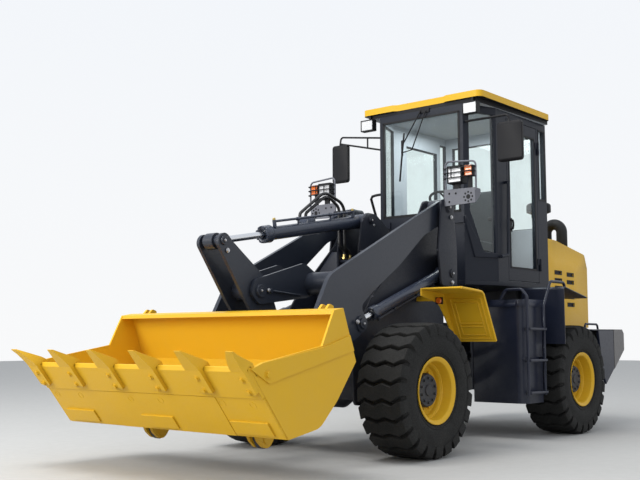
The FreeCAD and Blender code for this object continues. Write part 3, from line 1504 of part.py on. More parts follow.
roof_liner = plate("RoofLiner", "XY_Plane", S.cab_eaves_z, S.roof_liner, corners("liner", (
    ("rear_right", "", -1380, -640, 0),
    ("front_right", "", -40, -600, 0),
    ("front_left", "", -40, 600, 0),
    ("rear_left", "", -1380, 640, 0),
)))
roof_round = cell("roof_round", 60)
horn_half = cell("roof_horn_half", 300)
notch_half = cell("roof_notch_half", 260)
notch_x = S.roof_front_x - 25
roof_panel = plate("RoofPlate", "XY_Plane", S.roof_foot_z, S.roof_plate, (
    (S.roof_rear_x, -S.roof_half, roof_round),
    (S.roof_front_x, -S.roof_half, roof_round),
    (S.roof_front_x, -horn_half, None),
    (notch_x, -notch_half, None),
    (notch_x, notch_half, None),
    (S.roof_front_x, horn_half, None),
    (S.roof_front_x, S.roof_half, roof_round),
    (S.roof_rear_x, S.roof_half, roof_round),
))
weld("cab_roof", [roof_liner, roof_panel])
glass = S.glass_thickness
pane_x = S.cab_front_x - 22
pane_y = S.cab_half - 23


def side_pane(name, rear_x, front_x, foot_z, top_z):
    """A pane that fills one opening of a side wall."""
    return block(name, rear_x, front_x, pane_y, pane_y + glass, foot_z, top_z)


corner_pane = common("CornerPane", [
    corner_sheet("CornerPaneSheet", as_size(18), glass),
    corner_cutter("CornerPaneKeep", corner_window),
])
weld("cab_glass", [
    block("Windshield", pane_x, pane_x + glass, -S.windshield_half, S.windshield_half,
          S.windshield_foot_z, S.window_top_z),
    block("RearPane", rear_inner_x - 23, rear_inner_x - 23 + glass, -S.rear_window_half,
          S.rear_window_half, S.rear_window_foot_z, rear_window_top_z),
    mirrored(side_pane("RightPane", S.side_window_rear_x, S.side_window_front_x,
                       S.side_window_foot_z, S.door_window_top_z)),
] + both([corner_pane,
          side_pane("QuarterPane", S.quarter_rear_x, S.quarter_front_x, S.quarter_foot_z,
                    quarter_top_z)]))

door_low = S.cab_half - S.cab_wall + 2
door_knuckles = []
for level, z_low in knuckle_levels:
    door_knuckles.append(rod("DoorKnuckle" + level, "z", S.door_hinge_x, S.door_hinge_y, z_low,
                             S.knuckle_radius, knuckle_height))
    door_knuckles.append(block("DoorStrap" + level, S.door_hinge_x, S.door_hinge_x + 45, S.cab_half,
                               strap_outer_y, z_low, z_low + knuckle_height))
door_plate = block("DoorPlate", S.door_rear_x + S.door_gap, S.door_front_x - S.door_gap,
                   door_low, S.cab_half, S.door_sill_z + S.door_gap, S.door_top_z - S.door_gap)
door_window = side_cut("DoorWindow", S.door_window_rear_x, S.door_window_front_x,
                       S.door_window_foot_z, S.door_window_top_z)
weld("cab_door", [door_plate] + door_knuckles, [door_window])
weld("door_glass", [plate("DoorPane", "XZ_Plane", pane_y, glass, (
    (S.door_window_rear_x, S.door_window_foot_z, None),
    (S.door_window_front_x, S.door_window_foot_z, None),
    (S.door_window_front_x, S.door_window_top_z, None),
    (S.door_window_rear_x, S.door_window_top_z, None),
))])


# Seat and steering column

seat_parts = [
    block("SeatBox", -1080, -720, -190, 190, wall_foot, 1740),
    plate("SeatCushion", "XZ_Plane", -250, 500, corners("seat_cushion", (
        ("rear_foot", "", -1130, 1740, 20),
        ("front_foot", "", -640, 1740, 40),
        ("front_top", "", -640, 1860, 50),
        ("rear_top", "", -1130, 1830, 20),
    ))),
    plate("SeatBack", "XZ_Plane", -230, 460, corners("seat_back", (
        ("front_foot", "", -1090, 1825, 20),
        ("front_top", "", -1200, 2420, 40),
        ("rear_top", "", -1290, 2410, 40),
        ("rear_foot", "", -1190, 1780, 20),
    ))),
    block("ArmRestLeft", -1090, -800, 255, 325, 2040, 2090),
    block("ArmRestPost", -1060, -1020, 225, 290, 1780, 2045),
]
weld("seat", seat_parts)
wheel_tilt = Rotation(Vector(0, 1, 0), -25)
wheel_x = cell("steering_wheel_x", -520)
wheel_z = cell("steering_wheel_z", 2230)
wheel_radius = cell("steering_wheel_radius", 190)
wheel_ring = doc.addObject("Part::Torus", "SteeringRing")
bind(wheel_ring, "Radius1", wheel_radius)
bind(wheel_ring, "Radius2", cell("steering_rim_radius", 13))
wheel_ring.Placement = Placement(Vector(), wheel_tilt)
bind(wheel_ring, "Placement.Base.x", wheel_x)
bind(wheel_ring, "Placement.Base.z", wheel_z)
column = plate("Column", "XZ_Plane", -70, 140, [
    (cell("column_rear_x", -230), wall_foot, None),
    (cell("column_front_x", -120), wall_foot, None),
] + corners("column", (
    ("shoulder", "", -150, 1900, 80),
    ("head_top", "", -508, 2240, 0),
    ("head_foot", "", -540, 2200, 0),
    ("elbow", "", -290, 1900, 60),
)))
spoke = rod("Spoke", "x", wheel_x, 0, wheel_z, 9, wheel_radius)
spoke.Placement = Placement(Vector(), wheel_tilt * AXIS_TURN["x"])
spokes = [spoke]
for name, angle in (("Left", 120), ("Right", 240)):
    spokes.append(rod("Spoke" + name, "x", wheel_x, 0, wheel_z, 9, wheel_radius))
    spokes[-1].Placement = Placement(Vector(), wheel_tilt * Rotation(Vector(0, 0, 1), angle)
                                     * AXIS_TURN["x"])
weld("steering_column", [wheel_ring, column] + spokes)


# Hood with side slots, exhaust stack

hood_points = corners("hood", (
    ("front_foot", "", -1432, 1012, 0),
    ("front_top", "", -1432, 1925, 0),
    ("crest", "", -1760, 1915, 400),
    ("shoulder", "", -2455, 1805, 60),
    ("tail_top", "", -2518, 1656, 60),
    ("tail_foot", "", -2512, 1012, 0),
))
hood_outer = plate("HoodOuter", "XZ_Plane", -S.hood_half, S.hood_half * 2, hood_points)
hood_room = plate("HoodRoom", "XZ_Plane", -S.hood_half + S.hood_skin, (S.hood_half - S.hood_skin) * 2,
                  corners("hood_room", (
                      ("front_foot", "", -1460, 900, 0),
                      ("front_top", "", -1460, 1915, 0),
                      ("crest", "", -1760, 1905, 390),
                      ("shoulder", "", -2448, 1797, 52),
                      ("tail_top", "", -2510, 1654, 52),
                      ("tail_foot", "", -2504, 900, 0),
                  )))
front_room = block("HoodMouth", -1500, -1400, -470, 470, 1000, 1880)
slots = []
for name, x_mid, z_mid in (
        ("A", -1815, 1580), ("B", -1815, 1500), ("C", -1815, 1420), ("D", -1815, 1340),
        ("E", -2095, 1570), ("F", -2095, 1490), ("G", -2095, 1335), ("H", -2095, 1253)):
    slots.append(block("Slot" + name, x_mid - 67, x_mid + 67, -520, 520, z_mid - 12.5, z_mid + 12.5))
grille_slots = []
for level in range(6):
    z_mid = 1150 + 85 * level
    grille_slots.append(block("GrilleSlot%s" % "ABCDEF"[level], -2540, -2480, -300, 300,
                              z_mid - 16, z_mid + 16))
notch = block("HoodNotch", -2530, -2490, S.hood_lug_y, S.hood_lug_y + 26, 1000, 1100)
hood_shell = cut_away("HoodShell", hood_outer,
                      [hood_room, front_room] + slots + grille_slots + both([notch]))
hood_ear = plate("HoodEar", "XZ_Plane", S.hood_lug_y - 12, 12, corners("hood_ear", (
    ("root_foot", "", -2506, 1018, 0),
    ("head_foot", "hood_hinge", 20, -22, 18),
    ("head_top", "hood_hinge", 20, 24, 18),
    ("root_top", "", -2506, 1100, 0),
)))
hood_bore = pin_y("HoodBore", "hood_hinge", S.hood_lug_y - 20, S.hood_lug_y + 5,
                  S.hood_pin_radius + S.pin_gap)
weld("hood", [hood_shell] + both([hood_ear]), both([hood_bore]))

hood_front_foot, hood_front_top, hood_crest, hood_shoulder = hood_points[:4]
stack_sole_points = [hood_front_top, hood_crest, (hood_shoulder[0], hood_shoulder[1], None),
                     (hood_shoulder[0], cell("sole_depth_z", 1500), None),
                     (hood_front_foot[0], S.sole_depth_z, None)]


def hood_sole(name):
    """The hood's top as a cutter for what stands on it."""
    return plate(name, "XZ_Plane", S.running_gap - S.hood_half, (S.hood_half - S.running_gap) * 2,
                 stack_sole_points)


intake_elbow = tube("IntakeElbow", "YZ_Plane", -2130, [
    (cell("elbow_outer_y", 400), cell("elbow_foot_z", 1800), None),
    (S.elbow_outer_y, cell("elbow_top_z", 2125), cell("elbow_bend", 90)),
    (cell("elbow_inner_y", 219), S.elbow_top_z, S.elbow_bend),
    (S.elbow_inner_y, S.elbow_foot_z, None),
], 58)
weld("exhaust_stack", [intake_elbow], [hood_sole("ElbowSole")])
cleaner_profile = turned("CleanerProfile", (
    (0, cell("cleaner_foot_z", 1880), None),
    (cell("cleaner_stem_radius", 60), S.cleaner_foot_z, None),
    (S.cleaner_stem_radius, cell("cleaner_clamp_z", 2150), None),
    (cell("cleaner_clamp_radius", 75), S.cleaner_clamp_z, None),
    (S.cleaner_clamp_radius, cell("cleaner_neck_z", 2185), None),
    (cell("cleaner_cap_radius", 125), cell("cleaner_cap_foot_z", 2205), None),
    (S.cleaner_cap_radius, cell("cleaner_cap_top_z", 2290), cell("cleaner_cap_round", 30)),
    (0, cell("cleaner_top_z", 2322), None),
), "V_Axis")
cleaner_profile.Placement = Placement(Vector(), Rotation(Vector(1, 0, 0), 90))
bind(cleaner_profile, "Placement.Base.x", cell("cleaner_x", -1650))
bind(cleaner_profile, "Placement.Base.y", cell("cleaner_y", 380))
weld("air_precleaner", [cleaner_profile], [hood_sole("CleanerSole")])


# Mirrors and work lamps at the cab's front corners

mirror_top_z = S.cab_eaves_z - 235
left_head = plate("MirrorHeadLeft", "YZ_Plane", -75, 40, (
    (cell("left_mirror_inner_y", 818), cell("left_mirror_foot_z", 2460), cell("mirror_round", 30)),
    (cell("left_mirror_outer_y", 1058), S.left_mirror_foot_z, S.mirror_round),
    (S.left_mirror_outer_y, mirror_top_z, S.mirror_round),
    (S.left_mirror_inner_y, mirror_top_z, S.mirror_round),
))
left_arm_z = S.cab_eaves_z - 170
left_arm = tube("MirrorArmLeft", "YZ_Plane", -55, [
    (S.cab_front_half + 13, left_arm_z, None),
    (cell("left_arm_turn_y", 925), left_arm_z, as_size(30)),
    (S.left_arm_turn_y, mirror_top_z - 5, None),
], 11)
right_head = plate("MirrorHeadRight", "YZ_Plane", -75, 40, (
    (cell("right_mirror_outer_y", -1073), cell("right_mirror_foot_z", 2463), S.mirror_round),
    (cell("right_mirror_inner_y", -881), S.right_mirror_foot_z, S.mirror_round),
    (S.right_mirror_inner_y, mirror_top_z + 30, S.mirror_round),
    (S.right_mirror_outer_y, mirror_top_z + 30, S.mirror_round),
))
right_arm = tube("MirrorArmRight", "YZ_Plane", -55, [
    (-S.cab_front_half - 13, S.cab_eaves_z - 192, None),
    (cell("right_arm_turn_y", -975), S.cab_eaves_z - 122, as_size(30)),
    (cell("right_arm_end_y", -990), mirror_top_z + 22, None),
], 9)
right_strut = tube("MirrorStrutRight", "YZ_Plane", -55, [
    (-S.cab_front_half - 13, S.cab_eaves_z - 311, None),
    (cell("right_strut_end_y", -984), S.cab_eaves_z - 188, None),
], 9)
right_tie = rod("MirrorTieRight", "z", -55, -640, S.cab_eaves_z - 275, 8, 106)
weld("mirrors", [left_head, left_arm, right_head, right_arm, right_strut, right_tie])
work_lamp = block("WorkLamp", -25, 28, 507, 655, S.cab_eaves_z - 125, S.cab_eaves_z - 15)
lamp_stem = block("LampStem", -38, S.roof_front_x - 4, 570, 590, S.cab_eaves_z - 16, S.roof_foot_z)
weld("work_lamps", both([work_lamp, lamp_stem]))


# Check and export

doc.recompute()
bad = []
for item in doc.Objects:
    if "Invalid" in item.State or "Error" in item.State:
        bad.append(item.Label)
    shape = getattr(item, "Shape", None)
    if shape is not None and not item.isDerivedFrom("App::Origin") and item.TypeId.startswith("Part"):
        if shape.isNull() or not shape.isValid():
            bad.append(item.Label)
if bad:
    raise RuntimeError("these objects fail: " + ", ".join(bad))
os.makedirs("parts", exist_ok=True)
for name, item in nodes:
    item.Shape.exportStep("parts/%s.step" % name)
print("nodes", len(nodes))
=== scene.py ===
import math

import bmesh
import bpy
from mathutils import Matrix, Vector


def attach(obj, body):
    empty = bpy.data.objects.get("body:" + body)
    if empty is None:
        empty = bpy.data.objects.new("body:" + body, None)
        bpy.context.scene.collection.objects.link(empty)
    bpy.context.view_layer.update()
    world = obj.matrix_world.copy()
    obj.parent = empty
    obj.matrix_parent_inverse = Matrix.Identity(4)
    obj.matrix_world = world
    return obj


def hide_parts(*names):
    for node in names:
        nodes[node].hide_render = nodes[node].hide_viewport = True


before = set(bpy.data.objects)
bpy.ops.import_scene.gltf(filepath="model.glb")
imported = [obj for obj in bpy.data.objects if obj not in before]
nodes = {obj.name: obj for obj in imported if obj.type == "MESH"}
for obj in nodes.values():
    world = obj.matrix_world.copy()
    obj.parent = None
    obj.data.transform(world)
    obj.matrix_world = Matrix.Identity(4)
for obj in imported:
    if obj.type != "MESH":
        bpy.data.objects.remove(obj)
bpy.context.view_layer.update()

# Driving places in the machine's own millimetres: X forward from the articulation, Z up from the
# ground. The frame's origin lies at the middle of the overall length, 460 mm ahead of the articulation.

PIVOT_X = -460.0
SIDES = (("left", 1), ("right", -1))
BUCKET_HEEL = (3042.0, 296.0)
BOOM_PIN = (440.0, 2025.0)
CRANK_PIN = (2304.0, 1256.0)
LIFT_BASE, LIFT_EYE = (400.0, 1458.0), (1615.0, 1018.0)
TILT_BASE, TILT_EYE = (921.0, 1906.0), (2650.0, 1605.0)
STEER_EYE_X, STEER_EYE_Y = 150, 290


def reach(sign, inner, outer):
    """Low and high place along Y of what spans from inner to outer on one side."""
    return sorted((sign * inner, sign * outer))


# Materials: each carries its own tone, grain and dust, and the glass its smears

GLASS_IOR = 1.45


def new_material(name):
    mat = bpy.data.materials.new(name)
    mat.use_nodes = True
    tree = mat.node_tree
    tree.nodes.clear()
    out = tree.nodes.new("ShaderNodeOutputMaterial")
    return mat, tree, out


def add(tree, kind, **values):
    item = tree.nodes.new(kind)
    for key, value in values.items():
        if key.startswith("in_"):
            item.inputs[key[3:].replace("_", " ")].default_value = value
        else:
            setattr(item, key, value)
    return item


def mix_colour(tree, factor, low, high, mode="MIX"):
    mix = tree.nodes.new("ShaderNodeMix")
    mix.data_type = "RGBA"
    mix.blend_type = mode
    if isinstance(factor, (int, float)):
        mix.inputs[0].default_value = factor
    else:
        tree.links.new(factor, mix.inputs[0])
    for socket, value in ((mix.inputs[6], low), (mix.inputs[7], high)):
        if isinstance(value, tuple):
            socket.default_value = value
        else:
            tree.links.new(value, socket)
    return mix.outputs[2]


def ramp(tree, source, low, high, out_low=0.0, out_high=1.0):
    item = tree.nodes.new("ShaderNodeMapRange")
    item.inputs["From Min"].default_value = low
    item.inputs["From Max"].default_value = high
    item.inputs["To Min"].default_value = out_low
    item.inputs["To Max"].default_value = out_high
    tree.links.new(source, item.inputs["Value"])
    return item.outputs["Result"]


def noise(tree, scale, detail=4.0, rough=0.55):
    coord = tree.nodes.new("ShaderNodeTexCoord")
    item = add(tree, "ShaderNodeTexNoise", in_Scale=scale, in_Detail=detail, in_Roughness=rough)
    tree.links.new(coord.outputs["Object"], item.inputs["Vector"])
    return item.outputs["Fac"]


def multiply(tree, a, b):
    item = tree.nodes.new("ShaderNodeMath")
    item.operation = "MULTIPLY"
    tree.links.new(a, item.inputs[0])
    if isinstance(b, (int, float)):
        item.inputs[1].default_value = b
    else:
        tree.links.new(b, item.inputs[1])
    return item.outputs[0]


def surface(name, colour, roughness, metallic=0.0, coat=0.0, dust=0.25, dust_top=1.2, grain=60.0,
            bump=0.04, patch=0.12, dust_colour=(0.30, 0.28, 0.25, 1.0), specular=0.5,
            bump_scale=None):
    """Paint, rubber or metal with uneven tone, fine grain and dust that gathers low down."""
    mat, tree, out = new_material(name)
    shader = tree.nodes.new("ShaderNodeBsdfPrincipled")
    tree.links.new(shader.outputs[0], out.inputs[0])
    base = tuple(colour) + (1.0,)
    dark = tuple(c * 0.72 for c in colour) + (1.0,)
    tone = noise(tree, 2.3, 6.0, 0.6)
    varied = mix_colour(tree, multiply(tree, tone, patch * 2), base, dark)
    geometry = tree.nodes.new("ShaderNodeNewGeometry")
    split = tree.nodes.new("ShaderNodeSeparateXYZ")
    tree.links.new(geometry.outputs["Position"], split.inputs[0])
    low_down = ramp(tree, split.outputs["Z"], dust_top, 0.0, 0.12, 1.0)
    cloud = ramp(tree, noise(tree, 7.0, 8.0, 0.7), 0.35, 0.75)
    dusty = multiply(tree, multiply(tree, low_down, cloud), dust)
    tree.links.new(mix_colour(tree, dusty, varied, dust_colour), shader.inputs["Base Color"])
    fine = noise(tree, grain, 3.0, 0.6)
    rough_out = ramp(tree, fine, 0.3, 0.7, roughness * 0.85, min(1.0, roughness * 1.2 + 0.02))
    tree.links.new(rough_out, shader.inputs["Roughness"])
    shader.inputs["Metallic"].default_value = metallic
    shader.inputs["Coat Weight"].default_value = coat
    shader.inputs["Coat Roughness"].default_value = 0.12
    shader.inputs["Specular IOR Level"].default_value = specular
    bumps = tree.nodes.new("ShaderNodeBump")
    bumps.inputs["Strength"].default_value = bump
    bumps.inputs["Distance"].default_value = 0.002
    tree.links.new(noise(tree, bump_scale or grain * 2.0, 4.0, 0.6), bumps.inputs["Height"])
    tree.links.new(bumps.outputs[0], shader.inputs["Normal"])
    return mat


def glass_material(name, tint):
    """A clear pane with faint smears that mirrors the same from both faces."""
    mat, tree, out = new_material(name)
    clear = add(tree, "ShaderNodeBsdfTransparent")
    smear = ramp(tree, noise(tree, 5.0, 6.0, 0.7), 0.35, 0.8, 0.0, 0.25)
    dirty = mix_colour(tree, smear, tuple(tint) + (1.0,), tuple(c * 0.88 for c in tint) + (1.0,))
    tree.links.new(dirty, clear.inputs["Color"])
    shine = tree.nodes.new("ShaderNodeBsdfGlossy")
    tree.links.new(ramp(tree, noise(tree, 30.0, 3.0), 0.3, 0.7, 0.01, 0.04), shine.inputs["Roughness"])
    geometry = tree.nodes.new("ShaderNodeNewGeometry")
    fresnel = tree.nodes.new("ShaderNodeFresnel")
    tree.links.new(ramp(tree, geometry.outputs["Backfacing"], 0.0, 1.0, GLASS_IOR, 1 / GLASS_IOR),
                   fresnel.inputs["IOR"])
    blend = tree.nodes.new("ShaderNodeMixShader")
    tree.links.new(fresnel.outputs[0], blend.inputs[0])
    tree.links.new(clear.outputs[0], blend.inputs[1])
    tree.links.new(shine.outputs[0], blend.inputs[2])
    tree.links.new(blend.outputs[0], out.inputs[0])
    return mat


yellow = surface("yellow_paint", (0.66, 0.385, 0.016), 0.42, coat=0.03, dust=0.07, patch=0.08,
                 dust_top=1.4, specular=0.22)
navy = surface("navy_paint", (0.011, 0.015, 0.032), 0.36, coat=0.12, dust=0.08, patch=0.2, specular=0.35)
boom_paint = surface("boom_paint", (0.016, 0.021, 0.034), 0.36, coat=0.12, dust=0.08, patch=0.2,
                     specular=0.45)
barrel_paint = surface("barrel_paint", (0.026, 0.034, 0.056), 0.3, coat=0.3, dust=0.05, patch=0.15,
                       specular=0.4)
frame_paint = surface("frame_paint", (0.009, 0.012, 0.022), 0.45, dust=0.14, patch=0.2,
                      specular=0.35)
cab_paint = surface("cab_paint", (0.009, 0.012, 0.021), 0.42, dust=0.05, patch=0.15,
                    specular=0.22)
grey_paint = surface("grey_paint", (0.115, 0.12, 0.145), 0.5, dust=0.12)
rear_grey = surface("rear_grey", (0.14, 0.135, 0.135), 0.5, dust=0.25)
hub_paint = surface("hub_paint", (0.020, 0.022, 0.028), 0.5, dust=0.18, specular=0.35)
rubber = surface("tyre_rubber", (0.0095, 0.0097, 0.0095), 0.78, dust=0.14, dust_top=1.1, grain=90.0,
                 bump=0.25, dust_colour=(0.11, 0.105, 0.095, 1.0), specular=0.3, bump_scale=140.0)
black = surface("black_plastic", (0.008, 0.008, 0.010), 0.5, dust=0.05, grain=200.0, bump=0.15,
                specular=0.2)
hose_rubber = surface("hose_rubber", (0.008, 0.008, 0.009), 0.45, dust=0.08, grain=160.0, bump=0.2)
seat_cloth = surface("seat_cloth", (0.045, 0.05, 0.055), 0.9, dust=0.04, grain=320.0, bump=0.5,
                     specular=0.2)
headliner = surface("headliner", (0.46, 0.49, 0.53), 0.85, dust=0.05, grain=260.0, bump=0.3,
                    specular=0.2)
steel = surface("bright_steel", (0.55, 0.55, 0.56), 0.3, metallic=1.0, dust=0.05, grain=120.0)
chrome = surface("chrome_rod", (0.72, 0.73, 0.75), 0.16, metallic=1.0, dust=0.03, grain=160.0,
                 bump=0.01)
brass = surface("brass_fitting", (0.55, 0.42, 0.16), 0.35, metallic=1.0, dust=0.1)
lens = surface("lamp_lens", (0.62, 0.63, 0.65), 0.12, coat=1.0, dust=0.05, grain=60.0, bump=0.6)
amber = surface("amber_lens", (0.75, 0.15, 0.008), 0.15, coat=1.0, dust=0.05, grain=60.0, bump=0.4)
exhaust = surface("exhaust_black", (0.010, 0.010, 0.011), 0.55, dust=0.1, specular=0.35)
glass = glass_material("tinted_glass", (0.955, 0.99, 0.985))
floor_paint = surface("pale_floor", (0.44, 0.44, 0.43), 0.8, dust=0.2, dust_top=5.0, grain=12.0,
                      bump=0.1, patch=0.10, dust_colour=(0.36, 0.36, 0.35, 1.0), specular=0.2)


# Mesh pieces in the machine's own millimetres

class Piece:
    """One mesh gathered from simple solids."""

    def __init__(self):
        self.mesh = bmesh.new()

    def solid(self, points, faces):
        """A closed mesh of its own. A face named twice is made once."""
        made = [self.mesh.verts.new(p) for p in points]
        for face in faces:
            try:
                self.mesh.faces.new([made[i] for i in face])
            except ValueError:
                pass

    def box(self, x1, x2, y1, y2, z1, z2):
        points = [(x, y, z) for z in (z1, z2) for y in (y1, y2) for x in (x1, x2)]
        self.solid(points, ((0, 2, 3, 1), (4, 5, 7, 6), (0, 1, 5, 4), (2, 6, 7, 3), (0, 4, 6, 2),
                            (1, 3, 7, 5)))

    def prism(self, outline, y1, y2):
        """An outline in X and Z between two places along Y."""
        count = len(outline)
        points = [(x, y, z) for y in (y1, y2) for x, z in outline]
        sides = [(i, (i + 1) % count, count + (i + 1) % count, count + i) for i in range(count)]
        self.solid(points, [tuple(range(count))[::-1], tuple(range(count, 2 * count))] + sides)

    def bar(self, start, end, radius, sides=20, end_radius=None):
        """A straight round or many-sided bar, tapered where the end has its own radius."""
        start, end = Vector(start), Vector(end)
        along = (end - start).normalized()
        across = along.orthogonal().normalized()
        other = along.cross(across)
        points = []
        for centre, r in ((start, radius), (end, radius if end_radius is None else end_radius)):
            for i in range(sides):
                a = 2 * math.pi * i / sides
                points.append(centre + (across * math.cos(a) + other * math.sin(a)) * r)
        around = [(i, (i + 1) % sides, sides + (i + 1) % sides, sides + i) for i in range(sides)]
        self.solid(points, [tuple(range(sides))[::-1], tuple(range(sides, 2 * sides))] + around)

    def bolt(self, place, normal, radius, height):
        place, normal = Vector(place), Vector(normal).normalized()
        self.bar(place - normal * 1, place + normal * height * 0.25, radius * 1.35, 16)
        self.bar(place, place + normal * height, radius, 6)

    def tube(self, path, radius, sides=12):
        """A round tube along a path of points."""
        path = [Vector(p) for p in path]
        rings = []
        across = None
        for i, here in enumerate(path):
            before = path[max(i - 1, 0)]
            after = path[min(i + 1, len(path) - 1)]
            along = (after - before).normalized()
            if across is None:
                across = along.orthogonal().normalized()
            across = (across - along * across.dot(along)).normalized()
            other = along.cross(across)
            rings.append([here + (across * math.cos(2 * math.pi * k / sides)
                                  + other * math.sin(2 * math.pi * k / sides)) * radius
                          for k in range(sides)])
        points = [p for ring in rings for p in ring]
        faces = []
        for i in range(len(rings) - 1):
            for k in range(sides):
                a, b = i * sides + k, i * sides + (k + 1) % sides
                faces.append((a, b, b + sides, a + sides))
        last = (len(rings) - 1) * sides
        faces += [tuple(range(sides))[::-1], tuple(range(last, last + sides))]
        self.solid(points, faces)

    def ring(self, centre, normal, radius, thickness, sides=36, cross=10):
        centre, normal = Vector(centre), Vector(normal).normalized()
        across = normal.orthogonal().normalized()
        other = normal.cross(across)
        points, faces = [], []
        for i in range(sides):
            a = 2 * math.pi * i / sides
            out = across * math.cos(a) + other * math.sin(a)
            for k in range(cross):
                b = 2 * math.pi * k / cross
                points.append(centre + out * (radius + thickness * math.cos(b))
                              + normal * thickness * math.sin(b))
                nxt = (i + 1) % sides
                faces.append((i * cross + k, nxt * cross + k, nxt * cross + (k + 1) % cross,
                              i * cross + (k + 1) % cross))
        self.solid(points, faces)

    def revolve(self, profile, centre, sides=96):
        """A profile of (radius, place) turned about the Y axis through a centre."""
        cx, cy, cz = centre
        count = len(profile)
        points, faces = [], []
        for i in range(sides):
            a = 2 * math.pi * i / sides
            for r, place in profile:
                points.append((cx + r * math.cos(a), cy + place, cz + r * math.sin(a)))
            nxt = (i + 1) % sides
            for k in range(count - 1):
                faces.append((i * count + k, i * count + k + 1, nxt * count + k + 1, nxt * count + k))
        self.solid(points, faces)

    def make(self, name, material, body, slot=None, bevel=0.0, smooth=40.0, replaces=()):
        """The finished object in the frame's metres, riding on its body."""
        mesh = bpy.data.meshes.new(name)
        bmesh.ops.recalc_face_normals(self.mesh, faces=self.mesh.faces[:])
        to_frame = Matrix.Scale(0.001, 4) @ Matrix.Translation((PIVOT_X, 0, 0))
        bmesh.ops.transform(self.mesh, matrix=to_frame, verts=self.mesh.verts[:])
        self.mesh.to_mesh(mesh)
        self.mesh.free()
        item = bpy.data.objects.new(name, mesh)
        bpy.context.scene.collection.objects.link(item)
        item.data.materials.append(material)
        finish_edges(item, bevel, smooth)
        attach(item, body)
        if replaces:
            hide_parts(*replaces)
        return item


def finish_edges(item, bevel=0.0, smooth=40.0):
    """Smooth shading up to an angle, and rounded edges where a width is given."""
    for polygon in item.data.polygons:
        polygon.use_smooth = True
    if bevel:
        chamfer = item.modifiers.new("Bevel", "BEVEL")
        chamfer.width = bevel / 1000
        chamfer.segments = 2
        chamfer.limit_method = "ANGLE"
        chamfer.angle_limit = math.radians(35)
    item.data.set_sharp_from_angle(angle=math.radians(smooth))
    even = item.modifiers.new("EvenShading", "WEIGHTED_NORMAL")
    even.keep_sharp = True


def dress(name, material, bevel=0.0, smooth=35.0):
    item = nodes[name]
    item.data.materials.clear()
    item.data.materials.append(material)
    weld = item.modifiers.new("Weld", "WELD")
    weld.merge_threshold = 0.00005
    finish_edges(item, bevel, smooth)


def dress_faces(name, material, chosen):
    """A second finish for the faces that a test picks by their place and direction."""
    item = nodes[name]
    item.data.materials.append(material)
    index = len(item.data.materials) - 1
    turn = item.matrix_world.to_3x3()
    for polygon in item.data.polygons:
        centre = item.matrix_world @ polygon.center * 1000
        if chosen(centre.x - PIVOT_X, centre.y, centre.z, turn @ polygon.normal):
            polygon.material_index = index


# CAD pieces and their finishes. Columns: node, material, edge rounding in mm

for node, material, edge in (
        ("rear_chassis", frame_paint, 0), ("rear_axle", frame_paint, 0),
        ("engine_block", grey_paint, 4), ("counterweight", rear_grey, 0), ("side_tanks", navy, 0),
        ("ladders", navy, 0), ("rear_fenders", navy, 0), ("cab_base", cab_paint, 4),
        ("cab_left_side", cab_paint, 3), ("cab_right_side", cab_paint, 3),
        ("cab_front", cab_paint, 3), ("cab_rear", cab_paint, 3), ("cab_roof", yellow, 6),
        ("cab_glass", glass, 0), ("door_glass", glass, 0), ("seat", seat_cloth, 0),
        ("steering_column", black, 0), ("mirrors", black, 0), ("work_lamps", black, 4),
        ("hood", yellow, 0), ("exhaust_stack", exhaust, 0), ("cab_door", cab_paint, 3),
        ("front_chassis", frame_paint, 0), ("front_axle", frame_paint, 0),
        ("front_fenders", yellow, 2), ("lamp_brackets", grey_paint, 1.5), ("headlamps", black, 3),
        ("boom", boom_paint, 2), ("bellcrank", boom_paint, 2), ("bucket_link", boom_paint, 2),
        ("bucket_shell", yellow, 2), ("cutting_edge", yellow, 2), ("bucket_teeth", yellow, 3),
        ("hinge_fork", frame_paint, 0), ("tower_cheeks", frame_paint, 0),
        ("tilt_pedestal", frame_paint, 0), ("tilt_hoses", hose_rubber, 0),
        ("air_precleaner", black, 0), ("tilt_barrel", barrel_paint, 0), ("tilt_rod", chrome, 0),
        ("lift_barrel_left", barrel_paint, 0), ("lift_barrel_right", barrel_paint, 0),
        ("lift_rod_left", chrome, 0), ("lift_rod_right", chrome, 0),
        ("steer_barrel_left", frame_paint, 0), ("steer_barrel_right", frame_paint, 0),
        ("steer_rod_left", chrome, 0), ("steer_rod_right", chrome, 0)):
    dress(node, material, edge)
for end in ("front", "rear"):
    for side, sign in SIDES:
        dress("rim_%s_%s" % (end, side), yellow)
        dress("hub_%s_%s" % (end, side), hub_paint, 2)
        dress("tyre_%s_%s" % (end, side), rubber)

# Light lining inside the cab, black side faces under the roof's skirt, and painted shade on the roof's
# underside

LINING_Y, LINING_REAR_X, LINING_FRONT_X = 575, -1375, -395
LINER_Z, ROOF_SKIRT_Z = 3060, 3085

dress_faces("cab_left_side", headliner, lambda x, y, z, n: n.y < -0.7 and y < LINING_Y)
dress_faces("cab_right_side", headliner, lambda x, y, z, n: n.y > 0.7 and y > -LINING_Y)
dress_faces("cab_rear", headliner, lambda x, y, z, n: n.x > 0.7 and x > LINING_REAR_X)
dress_faces("cab_front", headliner,
            lambda x, y, z, n: n.x < -0.2 and y * n.y < 1 and x > LINING_FRONT_X)
dress_faces("cab_roof", headliner, lambda x, y, z, n: n.z < -0.5 and z < LINER_Z)
# Black on the faces turned down under the roof plate is painted shade; the side faces below the skirt are
# made black too
dress_faces("cab_roof", black,
            lambda x, y, z, n: (n.z < -0.5 and z > LINER_Z) or (abs(n.z) < 0.5 and z < ROOF_SKIRT_Z))


# Painted eyes at the rods' ends

LIFT_EYE_REACH, STEER_EYE_REACH = 64, 42

